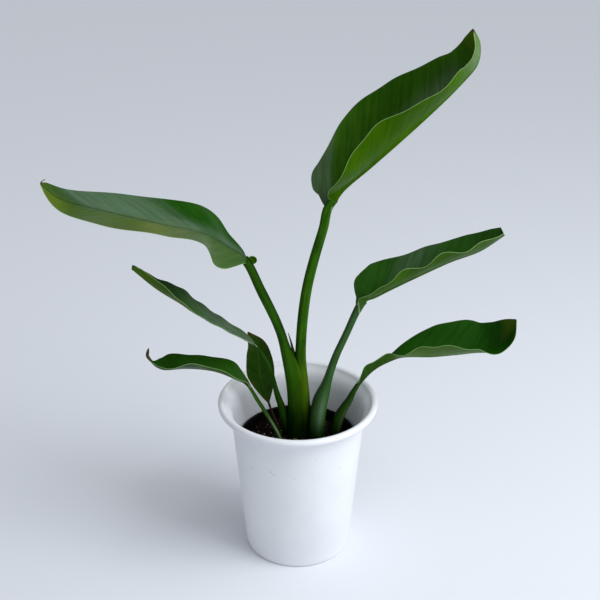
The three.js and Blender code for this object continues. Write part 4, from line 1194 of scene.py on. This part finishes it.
# The rings run out over the ear's face and back over its other face; each is an ellipse at a
# share of the whole, sunk as a dish by cup * share^2 and thinned to the edge like a circle.
out_share = np.linspace(EAR_INNERMOST, 1, 16)
back_share = np.linspace(0.98, EAR_INNERMOST, 15)
ear_share = np.concatenate([out_share, back_share])[:, None, None]
ear_side = np.concatenate([np.ones(16), -np.ones(15)])[:, None, None]
ear_turn = (np.arange(EAR_SIDES) * 2 * np.pi / EAR_SIDES)[None, :, None]
ear_sink = EAR_CUP * ear_share**2 + EAR_SKIN * ear_side * np.sqrt(1.001 - ear_share**2)
ear_rings = (
    np.array(EAR_CENTRE)
    + ear_share * np.cos(ear_turn) * EAR_LONG
    + ear_share * np.sin(ear_turn) * EAR_SHORT
    - ear_sink * unit(np.cross(EAR_LONG, EAR_SHORT))
)
ear_vein = ear_share * EAR_REACH * np.cos(ear_turn)
ear_place = np.broadcast_arrays(ear_vein, 2 + ear_turn, EAR_REACH * (1 - ear_share))
ear_spread = {"blade_place": with_ends(np.concatenate(ear_place, 2))}
ear_material = blade_material("leaf_ear", dict(LEAVES["high_left"], upper=LEAVES["tall"]["under"]))
ear = add_mesh("leaf_blade_ear", *closed_tube(ear_rings), ear_material, ear_spread)
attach(ear, "root")

# Stalks: stiff green leaf stalks, round below and channelled on top towards the blade. At the
# foot each is a sheath that wraps the next, so the two tallest rise as one broad stem. Pale
# streaks on them are partly the sheaths' pale margins and partly painted highlights.
STALK_SIDES = 96
STALK_STEP = 0.9
STALK_INTO_BLADE = 1.5
STALK_FLATTENING = [(0, 0), (0.75, 0), (1, 0.5)]
CHANNEL_AT_FOOT = 0.25
CHANNEL_AT_JOINT = 0.75
CHANNEL_BREADTH = 0.6
FLUTE_COUNT = 9
FLUTE_HEIGHT = 0.015
# Near-black of the painted shade at the stalks' feet.
PAINTED_FOOT_SHADE = (0.001, 0.007, 0.0005)
STALK_GLOW_DEPTH = 1.5
STALK_PATCHES_PER_METRE = 40.0
STALK_VEIN_SPACING = 1.1

# Pairs of a height and the share of the way to the tall stalk's middle that the upper half of
# the sheath's section moves over there.
CLASPS = {
    "high_left": [(98, 1), (125, 0.95), (150, 0.85), (168, 0.6), (180, 0.33), (190, 0.12), (198, 0.02),
                  (202, 0)],
    "mid_right": [(98, 0.12), (138, 0.1), (158, 0)],
}

# Pale streaks on stalks, partly the pale margins of sheaths and partly painted highlights: turn
# round the stalk in radians, breadth as the sine of half a turn, height, reach up and down from
# there, and colour.
STREAKS = {
    "tall": (-0.9, 0.4, 158.0, 26.0, (0.12, 0.2, 0.006)),
    "high_left": (0.8, 0.22, 148.0, 26.0, (0.24, 0.38, 0.01)),
    "low_left": (0.1, 0.15, 117.0, 12.0, (0.45, 0.55, 0.36)),
    "mid_right": (-0.3, 0.18, 136.0, 15.0, (0.24, 0.35, 0.24)),
    "low_right": (-0.6, 0.14, 128.0, 16.0, (0.16, 0.2, 0.1)),
}


def smooth(value):
    """Smooth step from 0 to 1."""
    value = np.clip(value, 0, 1)
    return value * value * (3 - 2 * value)


def stalk_rings(leaf, clasp):
    """Stalk as rings: centre + side * (radius * squash + flute) * cos(a) + up * lift, where lift
    is radius times sin(a), lowered at the top of the section by a bell-shaped channel and, near
    the joint, by a flat. Where a sheath clasps the tall stalk, the ring's upper half moves over
    by a share of the way to that stalk's centre, so that the section is the outline round both.
    With the rings come each point's place on the skin, the rings' heights, and how far each
    point lies on the channelled side, which sets how much painted shade the channel gets."""
    curve = Curve(leaf["stalk"] + leaf["midrib"])
    end = curve.share_of(len(leaf["stalk"])) + STALK_INTO_BLADE / curve.length
    t = np.linspace(0, 1, int(end * curve.length / STALK_STEP))
    centre, tangent = curve.at(t * end)
    side, up = leaf_axes(leaf, tangent)
    radius = along(leaf["radius"], t)[:, None]
    a = np.arange(STALK_SIDES) * 2 * np.pi / STALK_SIDES
    above = np.clip(np.sin(a), 0, None)
    wrap = np.zeros((len(t), STALK_SIDES))
    over = np.zeros((len(t), 2))
    if clasp:
        path = Curve(LEAVES["tall"]["stalk"]).at(np.linspace(0, 1, 300))[0]
        over = np.stack([np.interp(centre[:, 2], path[:, 2], path[:, k]) for k in (0, 1)], 1)
        over -= centre[:, :2]
        share = along(clasp, np.clip(centre[:, 2], clasp[0][0], clasp[-1][0]))
        wrap = share[:, None] * smooth((np.sin(a) + 0.15) / 0.5)
    depth = (CHANNEL_AT_FOOT + (CHANNEL_AT_JOINT - CHANNEL_AT_FOOT) * t**3)[:, None] * radius
    channel = depth * np.exp(-(((a - np.pi / 2) / CHANNEL_BREADTH) ** 2))
    flat = along(STALK_FLATTENING, t)[:, None] * above * radius
    lift = radius * np.sin(a) - (channel + flat) * (1 - wrap)
    flute = FLUTE_HEIGHT * radius * np.cos(FLUTE_COUNT * a) * (0.3 + t[:, None])
    out = (radius * leaf["squash"] + flute) * np.cos(a)
    rings = centre[:, None] + side[:, None] * out[..., None] + up[:, None] * lift[..., None]
    rings[..., :2] += over[:, None] * wrap[..., None]
    place = np.stack(np.broadcast_arrays(a * radius, t[:, None] * end * curve.length, a[None]), -1)
    return rings, place, centre[:, 2:], above * (1 - wrap)


def streak_on(height, turn, breadth, middle, reach):
    """Strength of a pale streak, partly a sheath's pale margin and partly a painted highlight,
    round each ring of a stalk: a bell in height times a bell in the sine of half the turn away
    from it."""
    a = np.arange(STALK_SIDES) * 2 * np.pi / STALK_SIDES
    return 0.5 * np.exp(-(((height - middle) / reach) ** 2) - (np.sin((a - turn) / 2) / breadth) ** 2)


def stalk_material(name, leaf, streak_colour=None):
    """Smooth fleshy stalk: two greens in lengthwise streaks, with painted shade in the channel and
    a painted near-black shade where the feet crowd together, and a pale streak in a colour of its
    own, partly the sheath's margin and partly a painted highlight."""
    material = new_material(name, ior=LEAF_IOR)
    tree = material.node_tree
    dark, light = leaf["stem"]
    foot_heights = [height * MM for height in leaf["foot"]]
    where = object_place(tree)
    height = put(tree, "ShaderNodeSeparateXYZ", {0: where}).outputs["Z"]
    veins = veined(tree, attribute(tree, "stalk_place", "Vector"), STALK_VEIN_SPACING)
    patches, patch = patched(tree, where, STALK_PATCHES_PER_METRE)
    tone = maths(tree, "MULTIPLY", veins["Broad"], 0.55)
    tone = maths(tree, "MULTIPLY_ADD", patches, 0.45, tone)
    colour = blended(tree, tone, opaque(dark), opaque(light))
    colour = blended(tree, maths(tree, "MULTIPLY", veins["Fine"], 0.2), colour, lighter(light))
    # Painted shade in the channel: the channelled side is blended towards a far darker green.
    hollow = maths(tree, "MULTIPLY", attribute(tree, "hollow"), 0.9)
    colour = blended(tree, hollow, colour, opaque(np.multiply(dark, 0.2)))
    # Painted shade: low down between the crowded stalks the colour is blended to near-black.
    foot = stretched(tree, height, *foot_heights, 0.96, 0.0)
    colour = blended(tree, foot, colour, opaque(PAINTED_FOOT_SHADE))
    # Pale streak: partly the sheath's pale margin and partly a painted highlight.
    if streak_colour:
        colour = blended(tree, attribute(tree, "streak"), colour, opaque(streak_colour))
    feed(
        material,
        base_color=colour,
        roughness=stretched(tree, patch, 0.3, 0.7, 0.3, 0.42),
        coat_weight=stretched(tree, height, *foot_heights, 0.0, leaf["wax"]),
        height=(veins["Height"], 0.3, 0.08),
    )
    waxy_tissue(tree.nodes["Principled BSDF"], STALK_GLOW_DEPTH)
    return material


for name, leaf in LEAVES.items():
    rings, place, height, hollow = stalk_rings(leaf, CLASPS.get(name))
    spread = {"stalk_place": with_ends(place), "hollow": with_ends(hollow[..., None])[:, 0]}
    streak_colour = None
    if name in STREAKS:
        *streak_place, streak_colour = STREAKS[name]
        spread["streak"] = with_ends(streak_on(height, *streak_place)[..., None])[:, 0]
    material = stalk_material(f"stalk_{name}", leaf, streak_colour)
    stalk = add_mesh(f"leaf_stalk_{name}", *closed_tube(rings), material, spread)
    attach(stalk, "root")
    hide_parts(f"stalk_{name}")

# New leaf: the next leaf, still rolled into a thin dark spear, held in the sheath between the
# two tallest stalks. Its outer margin winds round it as a low ridge.
SPEAR_PATH = [(-2, 9, 150), (-2, 8, 180), (-5, 7, 197), (-8, 7, 209)]
SPEAR_RADIUS = [(0, 1.9), (0.5, 1.7), (0.8, 1), (1, 0.3)]
SPEAR_LOOK = dict(stem=((0.01, 0.025, 0.004), (0.035, 0.075, 0.01)), foot=(100, 106), wax=0.1)
SPEAR_SIDES = 24
SPEAR_STATIONS = 80
SPEAR_MEAN_RADIUS = 1.5
RIDGE_HEIGHT = 0.12
RIDGE_EDGE = 4.0
RIDGE_BEGINS = 5.6
RIDGE_WIND = 2.0

spear_curve = Curve(SPEAR_PATH)
spear_t = np.linspace(0, 1, SPEAR_STATIONS)
spear_centre = spear_curve.at(spear_t)[0]
spear_a = np.arange(SPEAR_SIDES) * 2 * np.pi / SPEAR_SIDES
ridge_turn = (spear_a - RIDGE_EDGE + RIDGE_WIND * spear_t[:, None]) % (2 * np.pi)
ridge = RIDGE_HEIGHT * np.clip(ridge_turn - RIDGE_BEGINS, 0, 1)
spear_radius = along(SPEAR_RADIUS, spear_t)[:, None] * (1 + ridge)
spear_ring = np.stack([np.cos(spear_a), np.sin(spear_a), np.zeros(SPEAR_SIDES)], 1)
spear_rings = spear_centre[:, None] + spear_radius[..., None] * spear_ring
spear_around = spear_a * SPEAR_MEAN_RADIUS
spear_place = np.broadcast_arrays(spear_around, spear_t[:, None] * spear_curve.length, 0.0)
spear = add_mesh(
    "rolled_leaf_spear",
    *closed_tube(spear_rings),
    stalk_material("rolled_leaf", SPEAR_LOOK),
    {"stalk_place": with_ends(np.stack(spear_place, -1))},
)
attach(spear, "root")
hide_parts("rolled_new_leaf")
